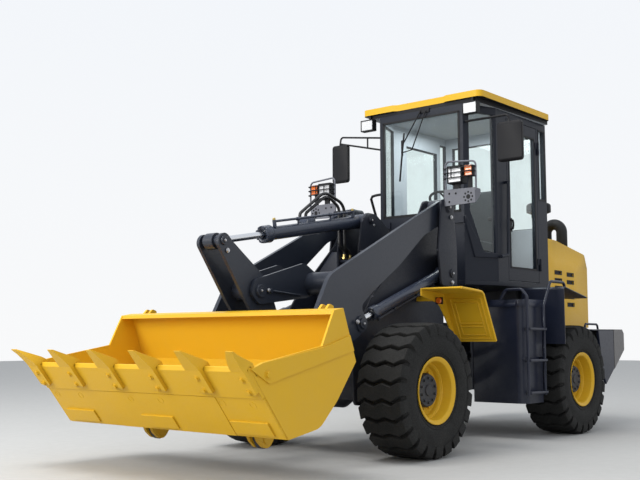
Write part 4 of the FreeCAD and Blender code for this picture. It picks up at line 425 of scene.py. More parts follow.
for side, sign in SIDES:
    dress_faces("lift_rod_" + side, boom_paint,
                lambda x, y, z, n: math.hypot(x - LIFT_EYE[0], z - LIFT_EYE[1]) < LIFT_EYE_REACH)
for side, sign in SIDES:
    dress_faces("steer_rod_" + side, frame_paint,
                lambda x, y, z, n, s=sign: math.hypot(x - STEER_EYE_X, y - s * STEER_EYE_Y)
                < STEER_EYE_REACH)


# Tyres with chevron lugs and wheel nuts

AXLE_X, TRACK_Y, HUB_Z = 1262.5, 807.5, 513.0
LUGS = 23
TREAD_BASE = 474.0
TREAD_HALF = 196.0
TYRE_RADIUS = 513.0
HUB_FACE, RIM_DISC = 105, 50
HUB_BOLTS, HUB_CIRCLE = 10, 92
WHEEL_NUTS, NUT_CIRCLE = 12, 152
# The lugs' chevron: shift around the tyre at each share of the half width
WAVE = ((-1.0, -30.0), (-0.62, 16.0), (-0.22, -12.0), (0.18, 16.0), (0.58, -8.0), (1.0, 34.0))


def wave(place):
    for (p1, v1), (p2, v2) in zip(WAVE, WAVE[1:]):
        if p1 <= place <= p2:
            return v1 + (v2 - v1) * (place - p1) / (p2 - p1)
    return WAVE[-1][1]


def tyre_tread(name, x, sign):
    """A tyre's carcass with its side beads and the wide lugs around it."""
    body = Piece()
    profile = [(229, -158), (262, -180), (300, -197), (350, -203), (410, -200), (440, -192),
               (TREAD_BASE - 8, -178), (TREAD_BASE, -150), (TREAD_BASE, 150), (TREAD_BASE - 8, 178),
               (440, 192), (410, 200), (350, 203), (300, 197), (262, 180), (229, 158)]
    body.revolve(profile, (x, sign * TRACK_Y, HUB_Z), sides=92)
    for face_sign in (-1, 1):
        for radius, lift in ((286, 194), (428, 199)):
            body.revolve([(radius - 5, face_sign * (lift - 4)), (radius - 2, face_sign * (lift + 1.5)),
                          (radius + 2, face_sign * (lift + 1.5)), (radius + 5, face_sign * (lift - 4))],
                         (x, sign * TRACK_Y, HUB_Z), sides=92)
    stations = [-1.0, -0.97, -0.86, -0.62, -0.42, -0.22, -0.02, 0.18, 0.38, 0.58, 0.86, 0.97, 1.0]
    for number in range(LUGS):
        angle = 2 * math.pi * number / LUGS
        points, faces = [], []
        for place in stations:
            shift = wave(place)
            across = place * TREAD_HALF
            edge = abs(place)
            top = TYRE_RADIUS - (0.0 if edge < 0.8 else (edge - 0.8) * 70)
            foot = TREAD_BASE - 6 if edge < 0.9 else 432.0
            if edge > 0.98:
                top, foot, across = 470.0, 415.0, math.copysign(202.0, place)
            for radius, half in ((foot, 62.0), (top - 5, 54.0), (top, 49.0), (top, -49.0),
                                 (top - 5, -54.0), (foot, -62.0)):
                a = angle + (shift + half * (1.0 if edge < 0.9 else 0.92)) / TYRE_RADIUS
                points.append((x + radius * math.cos(a), sign * (TRACK_Y + across),
                               HUB_Z + radius * math.sin(a)))
        for i in range(len(stations) - 1):
            for k in range(5):
                faces.append((i * 6 + k, i * 6 + k + 1, i * 6 + k + 7, i * 6 + k + 6))
        faces.append(tuple(range(6)))
        faces.append(tuple(range((len(stations) - 1) * 6, len(stations) * 6))[::-1])
        body.solid(points, faces)
    body.make("tyre_tread_" + name, rubber, "wheel_" + name, "tyre_rubber", smooth=28,
              replaces=("tyre_" + name,))


def hub_fittings(name, x, sign):
    fittings = Piece()
    face = sign * (TRACK_Y + HUB_FACE)
    out = (0, sign, 0)
    fittings.ring((x, face - sign * 2, HUB_Z), out, 118, 3.0, 48, 8)
    fittings.bar((x, face, HUB_Z), (x, face + sign * 9, HUB_Z), 44, 32, 40)
    for number in range(HUB_BOLTS):
        a = 2 * math.pi * (number + 0.5) / HUB_BOLTS
        place = (x + HUB_CIRCLE * math.cos(a), face, HUB_Z + HUB_CIRCLE * math.sin(a))
        fittings.bolt(place, out, 9.5, 13)
    fittings.make("hub_fittings_" + name, hub_paint, "wheel_" + name, "cast_hub", bevel=0.8)


def rim_fittings(name, x, sign):
    """Nuts on the wheel's disc and the beads of its rim."""
    nuts = Piece()
    disc = sign * (TRACK_Y + RIM_DISC)
    out = (0, sign, 0)
    for number in range(WHEEL_NUTS):
        a = 2 * math.pi * number / WHEEL_NUTS
        place = (x + NUT_CIRCLE * math.cos(a), disc, HUB_Z + NUT_CIRCLE * math.sin(a))
        nuts.bolt(place, out, 11, 15)
    nuts.ring((x, sign * (TRACK_Y + 168), HUB_Z), out, 236, 4.5, 64, 8)
    nuts.ring((x, sign * (TRACK_Y + 92), HUB_Z), out, 207, 6, 64, 8)
    nuts.make("rim_fittings_" + name, yellow, "wheel_" + name, "painted_yellow", bevel=0.8)


# Bucket: cutting edge, forged teeth, floor plates and bolts, placed along the sloping floor

FLOOR_RUN, FLOOR_RISE = Vector((0.61644, 0, 0.78741)), Vector((0.78741, 0, -0.61644))
EDGE_HALF = 1083
EDGE_LIP = 566
BUCKET_HALF = 1094
TEETH_Y = (-1049, -647, -216, 216, 647, 1049)
TOOTH_HALF, TIP_HALF = 63.0, 29.0
CORNER_Y, CORNER_INNER, CORNER_OUTER, CORNER_FLARE = 1049, 71.0, 35.0, 37.0
SKIN_RISE, MIDDLE_RISE = 15, 19
WEAR_PLATE = 11


def floor_place(run, rise, y=None):
    """A place up the floor from the heel and off its outer face, in X and Z or in all three."""
    place = Vector((BUCKET_HEEL[0], y or 0, BUCKET_HEEL[1])) + FLOOR_RUN * run + FLOOR_RISE * rise
    return (place.x, place.z) if y is None else place


def swept(piece, stations):
    """A solid through rectangular stations. Columns: run, low rise, high rise, Y low, Y high."""
    points = []
    for run, low, high, left, right in stations:
        points += [floor_place(run, rise, y) for rise, y in ((low, left), (low, right), (high, right),
                                                             (high, left))]
    faces = [(0, 1, 2, 3), tuple(4 * len(stations) - 4 + k for k in (3, 2, 1, 0))]
    for i in range(len(stations) - 1):
        for k in range(4):
            a, b = 4 * i + k, 4 * i + (k + 1) % 4
            faces.append((a, a + 4, b + 4, b))
    piece.solid(points, faces)


def cutting_edge_plate():
    edge = Piece()
    edge.prism([floor_place(run, rise) for run, rise in (
        (340, 0), (340, 22), (545, 22), (EDGE_LIP, 3), (EDGE_LIP, -3), (548, -15), (500, -15), (500, 0))],
        -EDGE_HALF, EDGE_HALF)
    edge.make("cutting_edge_plate", yellow, "bucket", "painted_yellow", bevel=2.0,
              replaces=("cutting_edge",))


def tooth(teeth, bolts, place):
    """One tooth clamped over the edge: strap below, strap inside the bucket, then the nose."""
    out = math.copysign(1, place)
    corner = abs(place) == CORNER_Y
    half = CORNER_OUTER if corner else TOOTH_HALF
    low, high = sorted((place - out * (CORNER_INNER if corner else TOOTH_HALF), place + out * half))
    middle = (low + high) / 2
    tip = place + (out * CORNER_FLARE if corner else 0)
    swept(teeth, ((372, 22.2, 34, middle - half * 0.5, middle + half * 0.5),
                  (382, 22.2, 42, middle - half * 0.85, middle + half * 0.85),
                  (398, 22.2, 46, low, high), (560, 22.2, 50, low, high), (EDGE_LIP, 4, 50, low, high)))
    swept(teeth, ((455, -15.2, -17, low + 4, high - 4), (480, -15.2, -34, low, high),
                  (560, -15.2, -40, low, high), (EDGE_LIP, -4, -40, low, high)))
    swept(teeth, ((EDGE_LIP, -40, 50, low, high), (600, -22, 54, low + 3, high - 3),
                  (690, 38, 67, (low + tip - TIP_HALF) / 2 + 4, (high + tip + TIP_HALF) / 2 - 4),
                  (738, 68, 76, tip - TIP_HALF, tip + TIP_HALF),
                  (743, 73, 77, tip - TIP_HALF + 2, tip + TIP_HALF - 2)))
    for run, rise in ((412, 46), (508, 48)):
        bolts.bolt(floor_place(run, rise, middle), FLOOR_RISE, 15, 12)
        bolts.ring(floor_place(run, rise + 1, middle), FLOOR_RISE, 23, 2.5, 28, 6)


def forged_teeth():
    teeth, bolts = Piece(), Piece()
    for place in TEETH_Y:
        tooth(teeth, bolts, place)
    teeth.make("forged_teeth", yellow, "bucket", "painted_yellow", bevel=2.5, replaces=("bucket_teeth",))
    for sign in (-1, 1):
        bolts.bolt((3238, sign * BUCKET_HALF, 694), (0, sign, 0), 21, 14)
    bolts.make("bucket_bolts", yellow, "bucket", "painted_yellow", bevel=1.0)


def bucket_floor_plates():
    """Skins under the floor, wear plates on them and the rings of their plug welds."""
    plates = Piece()
    for low, high, rise in ((-1080, -432, SKIN_RISE), (-432, 667, MIDDLE_RISE), (667, 1080, SKIN_RISE)):
        plates.prism([floor_place(run, depth)
                      for run, depth in ((4, 0), (18, rise), (334, rise), (338, 0))],
                     low, high)
    for low, high, rise in ((-1011, -686, SKIN_RISE), (-161, 158, MIDDLE_RISE), (686, 1010, SKIN_RISE)):
        plates.prism([floor_place(run, rise + depth) for run, depth in (
            (44, 0), (44, WEAR_PLATE), (146, WEAR_PLATE), (146, 0))], low, high)
    for place, rise in ((-1014, SKIN_RISE), (-737, SKIN_RISE), (-179, MIDDLE_RISE), (128, MIDDLE_RISE),
                        (702, SKIN_RISE), (962, SKIN_RISE)):
        plates.ring(floor_place(282, rise, place), FLOOR_RISE, 24, 2.2, 28, 6)
    plates.make("bucket_floor_plates", yellow, "bucket", "painted_yellow", bevel=1.5)


# Pin caps and lock bolts of the boom, the bellcrank and the tower

CAP_HEIGHT, CAP_TOP = 10, 14


def pin_cap(caps, bolts, pin, y, sign, radius, lock):
    """A pin's round cap on one side, and the bolt with its washer that locks the pin."""
    x, z = pin
    caps.bar((x, y, z), (x, y + sign * CAP_HEIGHT, z), radius, 40, radius - 2)
    caps.bar((x, y + sign * CAP_HEIGHT, z), (x, y + sign * CAP_TOP, z), radius * 0.55, 32)
    bolts.bolt((x, y + sign * CAP_TOP, z), (0, sign, 0), 7, 6)
    if lock:
        lock_x, lock_z = lock
        bolts.bar((lock_x, y - sign * 2, lock_z), (lock_x, y + sign * 7, lock_z), 17, 24)
        bolts.bolt((lock_x, y + sign * 7, lock_z), (0, sign, 0), 11, 9)


def capped_pins(group, body, paint, rows, plain_bolts=()):
    """Both ends of a body's pins. Columns: pin, the cap's Y, its radius, the lock bolt's X and Z."""
    caps, bolts = Piece(), Piece()
    for sign in (-1, 1):
        for pin, y, radius, lock in rows:
            pin_cap(caps, bolts, pin, sign * y, sign, radius, lock)
        for x, y, z in plain_bolts:
            bolts.bolt((x, sign * y, z), (0, sign, 0), 9, 8)
    caps.make(group + "_pin_caps", paint, body, "frame_dark", bevel=1.0)
    bolts.make(group + "_lock_bolts", steel, body, "frame_dark", bevel=0.8)


# Cylinders: glands, pipes with their clamps and fittings, and the tilt rod with its collared eye

PIPE_Y = 30
PIPE_LIFT = 90
PIPE_ENDS = (1112, 118)
PORT_Y = -72
TILT_ROD_RADIUS, TILT_EYE_RADIUS = 25.5, 60
LIFT_Y, LIFT_PIPE_Y = 480, 488
GREASE_Y = 160


def along(start, end, distance, lift=0.0, y=0.0):
    """A point along a cylinder's axis in the side view, lifted above it."""
    run = Vector((end[0] - start[0], end[1] - start[1]))
    length = run.length
    run /= length
    return (start[0] + run.x * distance - run.y * lift, y, start[1] + run.y * distance + run.x * lift)


def castle(piece, start, end, distance, radius, y=0.0, count=8):
    """Notched nut around a cylinder's gland."""
    axis = Vector((end[0] - start[0], 0, end[1] - start[1])).normalized()
    side, up = Vector((0, 1, 0)), axis.cross(Vector((0, 1, 0)))
    for number in range(count):
        a = 2 * math.pi * (number + 0.5) / count
        b = math.pi / count * 0.55
        points = []
        for shift in (0, 16):
            base = Vector(along(start, end, distance + shift, 0, y))
            for angle, r in ((a - b, radius - 12), (a + b, radius - 12),
                             (a + b, radius), (a - b, radius)):
                points.append(base + side * (math.cos(angle) * r) + up * (math.sin(angle) * r))
        piece.solid(points, ((3, 2, 1, 0), (4, 5, 6, 7), (0, 1, 5, 4), (1, 2, 6, 5), (2, 3, 7, 6),
                             (3, 0, 4, 7)))


def tilt_place(distance, lift=0.0, y=0.0):
    return along(TILT_BASE, TILT_EYE, distance, lift, y)


def lift_place(distance, lift=0.0, y=0.0):
    return along(LIFT_BASE, LIFT_EYE, distance, lift, y)


def tilt_pipe():
    """The rigid pipe over the tilt barrel, its blocks and clamps, and the gland's nut and rings."""
    pipe = Piece()
    pipe.tube([tilt_place(distance, lift, PIPE_Y) for distance, lift in (
        (118, 56), (120, 78), (128, 86), (145, PIPE_LIFT), (1090, PIPE_LIFT), (1104, 86), (1111, 78),
        (1112, 56))], 10)
    for distance in PIPE_ENDS:
        pipe.bar(tilt_place(distance, 44, PIPE_Y), tilt_place(distance, 100, PIPE_Y), 17, 6)
    for distance in (420, 830):
        pipe.bar(tilt_place(distance - 14, 88, PIPE_Y), tilt_place(distance + 14, 88, PIPE_Y), 15, 20)
        pipe.bar(tilt_place(distance, 44, PIPE_Y - 6), tilt_place(distance, 82, PIPE_Y), 7, 10)
    castle(pipe, TILT_BASE, TILT_EYE, 1222, 66)
    for distance in (1157, 1166):
        pipe.ring(tilt_place(distance),
                  Vector((TILT_EYE[0] - TILT_BASE[0], 0, TILT_EYE[1] - TILT_BASE[1])),
                  66, 3, 40, 8)
    pipe.make("tilt_pipe", barrel_paint, "tilt_cylinder", "barrel_dark", smooth=50)


def hose_fittings():
    fittings = Piece()
    for distance in PIPE_ENDS:
        fittings.bar(tilt_place(distance, 100, PIPE_Y), tilt_place(distance, 118, PIPE_Y), 10, 12)
        fittings.bar(tilt_place(distance, 102, PIPE_Y), tilt_place(distance, 110, PIPE_Y), 15, 6)
    for x, z in ((960, 1572), (1040, 1575)):
        fittings.bar((x, PORT_Y, z + 2), (x, PORT_Y, z + 44), 15.5, 24)
        fittings.bar((x, PORT_Y, z + 4), (x, PORT_Y, z + 22), 20, 6)
    fittings.make("hose_fittings", brass, "tilt_cylinder", "barrel_dark", bevel=0.8)


def lift_pipe(side, sign):
    """The rigid pipe under one lift barrel, its block and clamps, and the gland's nut."""
    pipe = Piece()
    y = sign * LIFT_PIPE_Y
    pipe.tube([lift_place(distance, lift, y) for distance, lift in (
        (150, -46), (153, -58), (166, -63), (980, -63), (989, -58), (992, -46))], 9)
    pipe.bar(lift_place(992, -40, y), lift_place(992, -78, y), 16, 6)
    for distance in (420, 760):
        pipe.bar(lift_place(distance - 12, -60, y), lift_place(distance + 12, -60, y), 14, 20)
    castle(pipe, LIFT_BASE, LIFT_EYE, 1060, 53, sign * LIFT_Y)
    pipe.make("lift_pipe_" + side, boom_paint, "lift_cylinder_" + side, "barrel_dark", smooth=50)


def tilt_rod():
    bar, eye = Piece(), Piece()
    eye_x, eye_z = TILT_EYE
    bar.bar(tilt_place(556), tilt_place(1702), TILT_ROD_RADIUS, 40)
    bar.make("tilt_rod_bar", chrome, "tilt_plunger", "rod_chrome", bevel=1.5, replaces=("tilt_rod",))
    eye.bar((eye_x, -46, eye_z), (eye_x, 46, eye_z), TILT_EYE_RADIUS, 56)
    for sign in (-1, 1):
        eye.bar((eye_x, sign * 45, eye_z), (eye_x, sign * 70, eye_z), 42, 48)
    eye.bar(tilt_place(1680), tilt_place(1706), 31, 40, 36)
    eye.make("tilt_rod_eye", boom_paint, "tilt_plunger", "frame_dark", bevel=2.5, replaces=("tilt_rod",))


def boom_grease_lines():
    """Grease bars from the bellcrank's pin to the arms, and the cross tube's flanges."""
    grease = Piece()
    for sign in (-1, 1):
        y = sign * GREASE_Y
        grease.bar((2207, y, 1260), (1882, y, 1236), 8, 12)
        grease.bar((2207, sign * 144, 1260), (2207, sign * 172, 1260), 16, 20)
        grease.bar((1882, sign * 118, 1236), (1882, sign * 170, 1236), 11, 16)
        grease.bar((1720, sign * 489, 1330), (1720, sign * 508, 1330), 112, 48)
    grease.make("boom_grease_lines", boom_paint, "boom_body", "frame_dark", bevel=1.0)


# Front fenders: rolled lips, pressed ribs under the tail, and marker lamps

FENDER_OUTER_Y, FENDER_INNER_Y = 996, 640
FENDER_FRONT, FENDER_TAIL = (907, 1305), (372, 884)
RIB_INNER, RIB_OUTER = 706, 928
MARKER_PLACE = (699, 656, 1215)


def fender_place(run, y, off=3.0):
    """A place down the tail's underside from the crest, in front of its skin."""
    return (574 - 0.444 * run + 0.896 * off, y, 1275 - 0.896 * run - 0.444 * off)


def fender_trim():
    ribs, markers, bases = Piece(), Piece(), Piece()
    front_x, front_z = FENDER_FRONT
    tail_x, tail_z = FENDER_TAIL
    marker_x, marker_y, marker_z = MARKER_PLACE
    for sign in (-1, 1):
        for start, stop, inner, outer in ((50, 415, 672, 962), (86, 380, RIB_INNER, RIB_OUTER)):
            a, b, c, d = (fender_place(run, sign * y) for run, y in (
                (start, inner), (start, outer), (stop, outer), (stop, inner)))
            for first, last in ((a, b), (b, c), (c, d), (d, a)):
                ribs.tube([first, last], 6, 8)
        for run in (275, 305):
            ribs.tube([fender_place(run, sign * RIB_INNER), fender_place(run, sign * RIB_OUTER)], 6, 8)
        y = sign * FENDER_OUTER_Y
        ribs.tube([(front_x, y, front_z), (760, y, 1296), (640, y, 1288), (590, y, 1282), (560, y, 1262),
                   (540, y, 1222), (tail_x, y, tail_z)], 10)
        ribs.tube([(tail_x, y, tail_z), (tail_x, sign * FENDER_INNER_Y, tail_z)], 9)
        ribs.tube([(front_x - 2, y, front_z), (front_x - 2, sign * FENDER_INNER_Y, front_z)], 9)
        bases.box(688, 700, *reach(sign, 622, 690), 1186, 1244)
        markers.bar((marker_x, sign * marker_y, marker_z), (marker_x + 15, sign * marker_y, marker_z),
                    27, 36, 22)
    ribs.make("fender_lips", yellow, "front_frame", "painted_yellow", smooth=50)
    bases.make("marker_lamp_bases", black, "front_frame", "machinery_grey", bevel=2.0)
    markers.make("marker_lamps", amber, "front_frame", "lamp_lens", bevel=2.0)


# Lamps: lenses behind wire guards at the front, and work lamps under the roof

HEADLAMP_X = 518
GUARD_X = 552
HEADLAMP_FOOT, HEADLAMP_TOP = 2213, 2362
BRACKET_HOLES = (837, 2089)
ROOF_LAMP_FOOT, ROOF_LAMP_TOP = 2925, 3035
BEZEL = 9


def headlamp_trim():
    lenses, ambers, guards, shades = Piece(), Piece(), Piece(), Piece()
    shade_x = HEADLAMP_X + 16
    for sign in (-1, 1):
        lenses.box(HEADLAMP_X + 2, HEADLAMP_X + 8, *reach(sign, 656, 778), 2224, 2352)
        shades.box(HEADLAMP_X, shade_x, *reach(sign, 647, 787), HEADLAMP_TOP - 10, HEADLAMP_TOP)
        shades.box(HEADLAMP_X, shade_x, *reach(sign, 647, 787), HEADLAMP_FOOT, HEADLAMP_FOOT + BEZEL)
        for y in (647, 779):
            shades.box(HEADLAMP_X, shade_x, *reach(sign, y, y + 8), HEADLAMP_FOOT, HEADLAMP_TOP)
        ambers.box(514, 523, *reach(sign, 812, 880), 2312, 2354)
        ambers.box(514, 521, *reach(sign, 812, 880), 2270, 2306)
        for z in (2258, 2300, 2340):
            guards.tube([(x, sign * y, z) for x, y in (
                (498, 611), (530, 614), (548, 630), (GUARD_X, 660), (GUARD_X, 860), (548, 890),
                (530, 906), (498, 909))], 5)
        for y in (700, 800):
            guards.bar((GUARD_X, sign * y, 2252), (GUARD_X, sign * y, 2346), 5, 12)
        # Black discs on the lamp bracket in place of its ring of holes: painted shade of the holes
        hole_y, hole_z = BRACKET_HOLES
        for number in range(9):
            a = 2 * math.pi * number / 8
            r = 0 if number == 8 else 40
            y, z = sign * (hole_y + r * math.cos(a)), hole_z + r * math.sin(a)
            guards.bar((505, y, z), (507, y, z), 9 if r else 20, 16)
        for y, z in ((650, 2060), (650, 2130), (715, 2128)):
            shades.bolt((506, sign * y, z), (1, 0, 0), 7, 6)
    lenses.make("headlamp_lenses", lens, "front_frame", "lamp_lens", bevel=2)
    ambers.make("turn_lamp_lenses", amber, "front_frame", "lamp_lens", bevel=2)
    guards.make("lamp_guard_wires", black, "front_frame", "machinery_grey")
    shades.make("lamp_bezels", black, "front_frame", "machinery_grey", bevel=1.5)


def work_lamp_trim():
    lenses, bezels = Piece(), Piece()
    for sign in (-1, 1):
        lenses.box(28, 34, *reach(sign, 516, 646), ROOF_LAMP_FOOT + BEZEL, ROOF_LAMP_TOP - BEZEL)
        bezels.box(26, 38, *reach(sign, 507, 655), ROOF_LAMP_TOP - BEZEL, ROOF_LAMP_TOP)
        bezels.box(26, 38, *reach(sign, 507, 655), ROOF_LAMP_FOOT, ROOF_LAMP_FOOT + BEZEL)
        for y in (507, 646):
            bezels.box(26, 38, *reach(sign, y, y + BEZEL), ROOF_LAMP_FOOT, ROOF_LAMP_TOP)
    lenses.make("work_lamp_lenses", lens, "rear_frame", "lamp_lens", bevel=2)
    bezels.make("work_lamp_bezels", black, "rear_frame", "black_plastic", bevel=1.5)


# Cab: seals around the windows, wipers, grab bar and door handle

CAB_HALF = 600
SEAL = 9
SCREEN_HALF, SCREEN_FOOT, SCREEN_TOP = 425, 2060, 2980
REAR_X, REAR_HALF, REAR_FOOT, REAR_TOP = -1400, 480, 2000, 2940
DOOR_WINDOW = (-1150, -640, 1567, 2870)
SIDE_WINDOW = (-1182, -614, 1690, 2870)
QUARTER_WINDOW = (-1370, -1242, 2274, 2977)


def side_seal(piece, window, y1, y2):
    """A seal around a window of a side wall."""
    rear, front, foot, top = window
    for z in (foot, top):
        piece.box(rear - SEAL, front + SEAL, y1, y2, z - SEAL, z + SEAL)
    for x in (rear, front):
        piece.box(x - SEAL, x + SEAL, y1, y2, foot, top)


def window_seals():
    seals = Piece()
    screen_seal = SEAL + 2
    for z in (SCREEN_FOOT, SCREEN_TOP):
        seals.box(-34, -27, -SCREEN_HALF - screen_seal, SCREEN_HALF + screen_seal, z - screen_seal,
                  z + screen_seal)
    for y in (-SCREEN_HALF, SCREEN_HALF):
        seals.box(-34, -27, y - screen_seal, y + screen_seal, SCREEN_FOOT, SCREEN_TOP)
    for window, y in ((QUARTER_WINDOW, CAB_HALF), (SIDE_WINDOW, -CAB_HALF), (QUARTER_WINDOW, -CAB_HALF)):
        side_seal(seals, window, y - 3, y + 3)
    for z in (REAR_FOOT, REAR_TOP):
        seals.box(REAR_X - 3, REAR_X + 3, -REAR_HALF - SEAL, REAR_HALF + SEAL, z - SEAL, z + SEAL)
    for y in (-REAR_HALF, REAR_HALF):
        seals.box(REAR_X - 3, REAR_X + 3, y - SEAL, y + SEAL, REAR_FOOT, REAR_TOP)
    seals.make("window_seals", black, "rear_frame", "black_plastic", bevel=1.5)


def door_trim():
    trim = Piece()
    side_seal(trim, DOOR_WINDOW, CAB_HALF - 2, CAB_HALF + 3)
    trim.box(-668, -612, CAB_HALF, CAB_HALF + 6, 1905, 2035)
    trim.tube([(-640, 604, 1925), (-640, 628, 1932), (-640, 632, 1960), (-640, 632, 1985),
               (-640, 628, 2010), (-640, 604, 2018)], 9)
    trim.make("door_seal_and_handle", black, "door", "black_plastic", bevel=1.5)


def wipers():
    """Two arms from the motor above the windscreen, and the blade across it."""
    arms = Piece()
    arms.tube([(-20, 19, 3052), (-8, 16, 3030), (-10, -166, 2774), (-14, -196, 2742)], 6)
    arms.tube([(-20, 78, 3043), (-8, 74, 3020), (-10, -82, 2682), (-14, -206, 2668)], 6)
    arms.box(-24, -17, -212, -190, 2640, 2790)
    arms.tube([(-22, -177, 2857), (-18, -200, 2660), (-22, -232, 2395)], 9)
    arms.box(-32, -18, 0, 110, 3022, 3062)
    arms.make("wipers", black, "rear_frame", "black_plastic", bevel=1)


def grab_bar():
    grip = Piece()
    grip.tube([(-62, -478, 2299), (-84, -560, 2301), (-98, -618, 2296), (-107, -640, 2272),
               (-150, -640, 2180), (-200, -640, 2078), (-207, -625, 2062), (-200, -530, 2060)], 13)
    grip.make("grab_bar_right", black, "rear_frame", "black_plastic")


# Counterweight with rounded flanks and a tapered tail, the deck beside the hood, and painted shade at the
# hood's slots

WEIGHT_FRONT, WEIGHT_TAIL, WEIGHT_FOOT, WEIGHT_TOP = -2270, -2640, 430, 992
WEIGHT_HALF, WEIGHT_FLAT = 880, 600
WEIGHT_ROWS = (-880, -874, -850, -800, -730, -660, -600, -300, 0, 300, 600, 660, 730, 800, 850, 874, 880)
LUG_X, LUG_Z, LUG_INNER, LUG_OUTER = -2480, 1040, 308, 320
DECK_TOP, DECK_PLATE = 991, 12
RAIL_Y = 800
LOUVRES = ((-1815, (1580, 1500, 1420, 1340)), (-2095, (1570, 1490, 1335, 1253)))
SLOT_HALF, SLOT_RISE = 67, 12.5
HOOD_HALF = 500


def weight_outline(y):
    """The tail's outline in X and Z at a place along Y."""
    side = max(0.0, (abs(y) - WEIGHT_FLAT) / (WEIGHT_HALF - WEIGHT_FLAT))
    bend = 1 - math.sqrt(1 - side ** 2)
    tail = WEIGHT_TAIL + 100 * bend
    foot = WEIGHT_FOOT + 156 * side
    return ((WEIGHT_FRONT, foot), (WEIGHT_FRONT, WEIGHT_TOP), (tail + 42, WEIGHT_TOP), (tail, 950),
            (tail, 690 + 90 * side), (-2500 + 210 * side, foot))


def counterweight():
    weight = Piece()
    points = [(x, y, z) for y in WEIGHT_ROWS for x, z in weight_outline(y)]
    faces = [tuple(range(6)), tuple(range(len(points) - 6, len(points)))[::-1]]
    for i in range(len(WEIGHT_ROWS) - 1):
        for k in range(6):
            a, b = 6 * i + k, 6 * i + (k + 1) % 6
            faces.append((a, b, b + 6, a + 6))
    weight.solid(points, faces)
    weight.make("counterweight_form", rear_grey, "rear_frame", "machinery_grey", bevel=7.0, smooth=30,
                replaces=("counterweight",))
    lugs = Piece()
    for sign in (-1, 1):
        lugs.prism([(-2455, 985), (-2458, 1056), (-2470, 1064), (-2488, 1064),
                    (-2497, 1054), (-2497, 985)],
                   *reach(sign, LUG_INNER, LUG_OUTER))
        lugs.bar((LUG_X, sign * (LUG_INNER - 16), LUG_Z), (LUG_X, sign * (LUG_INNER + 2), LUG_Z), 8, 20)
    lugs.make("hood_hinge_lugs", frame_paint, "rear_frame", "frame_dark", bevel=1.5,
              replaces=("counterweight",))


def rear_deck():
    """Wing plate ahead of the counterweight, ledge over the tyre and its rail, on both sides."""
    deck = Piece()
    ledge_foot = DECK_TOP - DECK_PLATE
    for sign in (-1, 1):
        deck.prism([(-1907, DECK_TOP), (-2290, DECK_TOP), (-2290, 596), (-2067, 432), (-1996, 567)],
                   *reach(sign, 852, WEIGHT_HALF))
        deck.prism([(-1745, ledge_foot), (-1745, DECK_TOP), (-2290, DECK_TOP), (-2290, ledge_foot)],
                   *reach(sign, HOOD_HALF + 20, WEIGHT_HALF))
        deck.tube([(x, sign * RAIL_Y, z) for x, z in (
            (-1765, 985), (-1770, 1030), (-1785, 1045), (-2040, 1043), (-2062, 1030), (-2076, 985))], 11)
    deck.make("rear_deck", navy, "rear_frame", "frame_dark", bevel=4.0)


def hood_slot_shade():
    """Black frames around the hood's side slots and a black backing behind each: painted shade that
    widens each slot's dark opening and darkens the hood's inside.
    """
    slot_shade = Piece()
    frame_half, frame_rise = SLOT_HALF + 15, 22
    for x, levels in LOUVRES:
        for z in levels:
            for sign in (-1, 1):
                skin = reach(sign, HOOD_HALF - 2, HOOD_HALF + 3)
                # Black frames around each slot: painted shade of a wider slot opening
                slot_shade.box(x - frame_half, x + frame_half, *skin, z + SLOT_RISE, z + frame_rise)
                slot_shade.box(x - frame_half, x + frame_half, *skin, z - frame_rise, z - SLOT_RISE)
                slot_shade.box(x - frame_half, x - SLOT_HALF, *skin, z - SLOT_RISE, z + SLOT_RISE)
                slot_shade.box(x + SLOT_HALF, x + frame_half, *skin, z - SLOT_RISE, z + SLOT_RISE)
                # Black backing inside the hood behind each slot: painted shade of the hood's inside
                slot_shade.box(x - 78, x + 78, *reach(sign, 478, 491.5), z - 20, z + 20)
    slot_shade.make("hood_slot_shade", black, "hood_lid", "black_plastic")


# Seat: crowned cushions in place of the plain solid

SEAM_HALF, CHANNEL_HALF, CHANNEL_DEPTH = 0.05, 0.045, 7


def cushion(name, low, high, lean, crown, channels):
    """A padded form between two corners, turned about its middle, with sewn channels."""
    mesh = bmesh.new()
    bmesh.ops.create_cube(mesh, size=2.0)
    bmesh.ops.subdivide_edges(mesh, edges=mesh.edges[:], cuts=27, use_grid_fill=True)
    low, high = Vector(low), Vector(high)
    half, middle = (high - low) / 2, (high + low) / 2
    turn = Matrix.Rotation(math.radians(lean), 3, "Y")
    for vert in mesh.verts:
        p = vert.co.copy()
        norm = (abs(p.x) ** 7 + abs(p.y) ** 7 + abs(p.z) ** 7) ** (1 / 7)
        q = p / norm
        pull = 1 - 0.035 * (1 - p.z ** 2)
        swell = crown * (1 - p.x ** 4) * (1 - p.y ** 4)
        depth = sum(math.exp(-((p.x - c) / CHANNEL_HALF) ** 2) for c in channels if p.z > 0)
        seam = math.exp(-((p.z - 0.55) / SEAM_HALF) ** 2) * 0.012
        spot = Vector((q.x * half.x * (pull - seam), q.y * half.y * (pull - seam),
                       q.z * half.z + (swell - depth * CHANNEL_DEPTH) * max(0.0, q.z)))
        spot.z = min(spot.z, half.z + crown)
        vert.co = ((turn @ spot) + middle + Vector((PIVOT_X, 0, 0))) / 1000
    shape = bpy.data.meshes.new(name)
    mesh.to_mesh(shape)
    mesh.free()
    item = bpy.data.objects.new(name, shape)
    bpy.context.scene.collection.objects.link(item)
    shape.materials.append(seat_cloth)
    for polygon in shape.polygons:
        polygon.use_smooth = True
    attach(item, "rear_frame")
    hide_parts("seat")


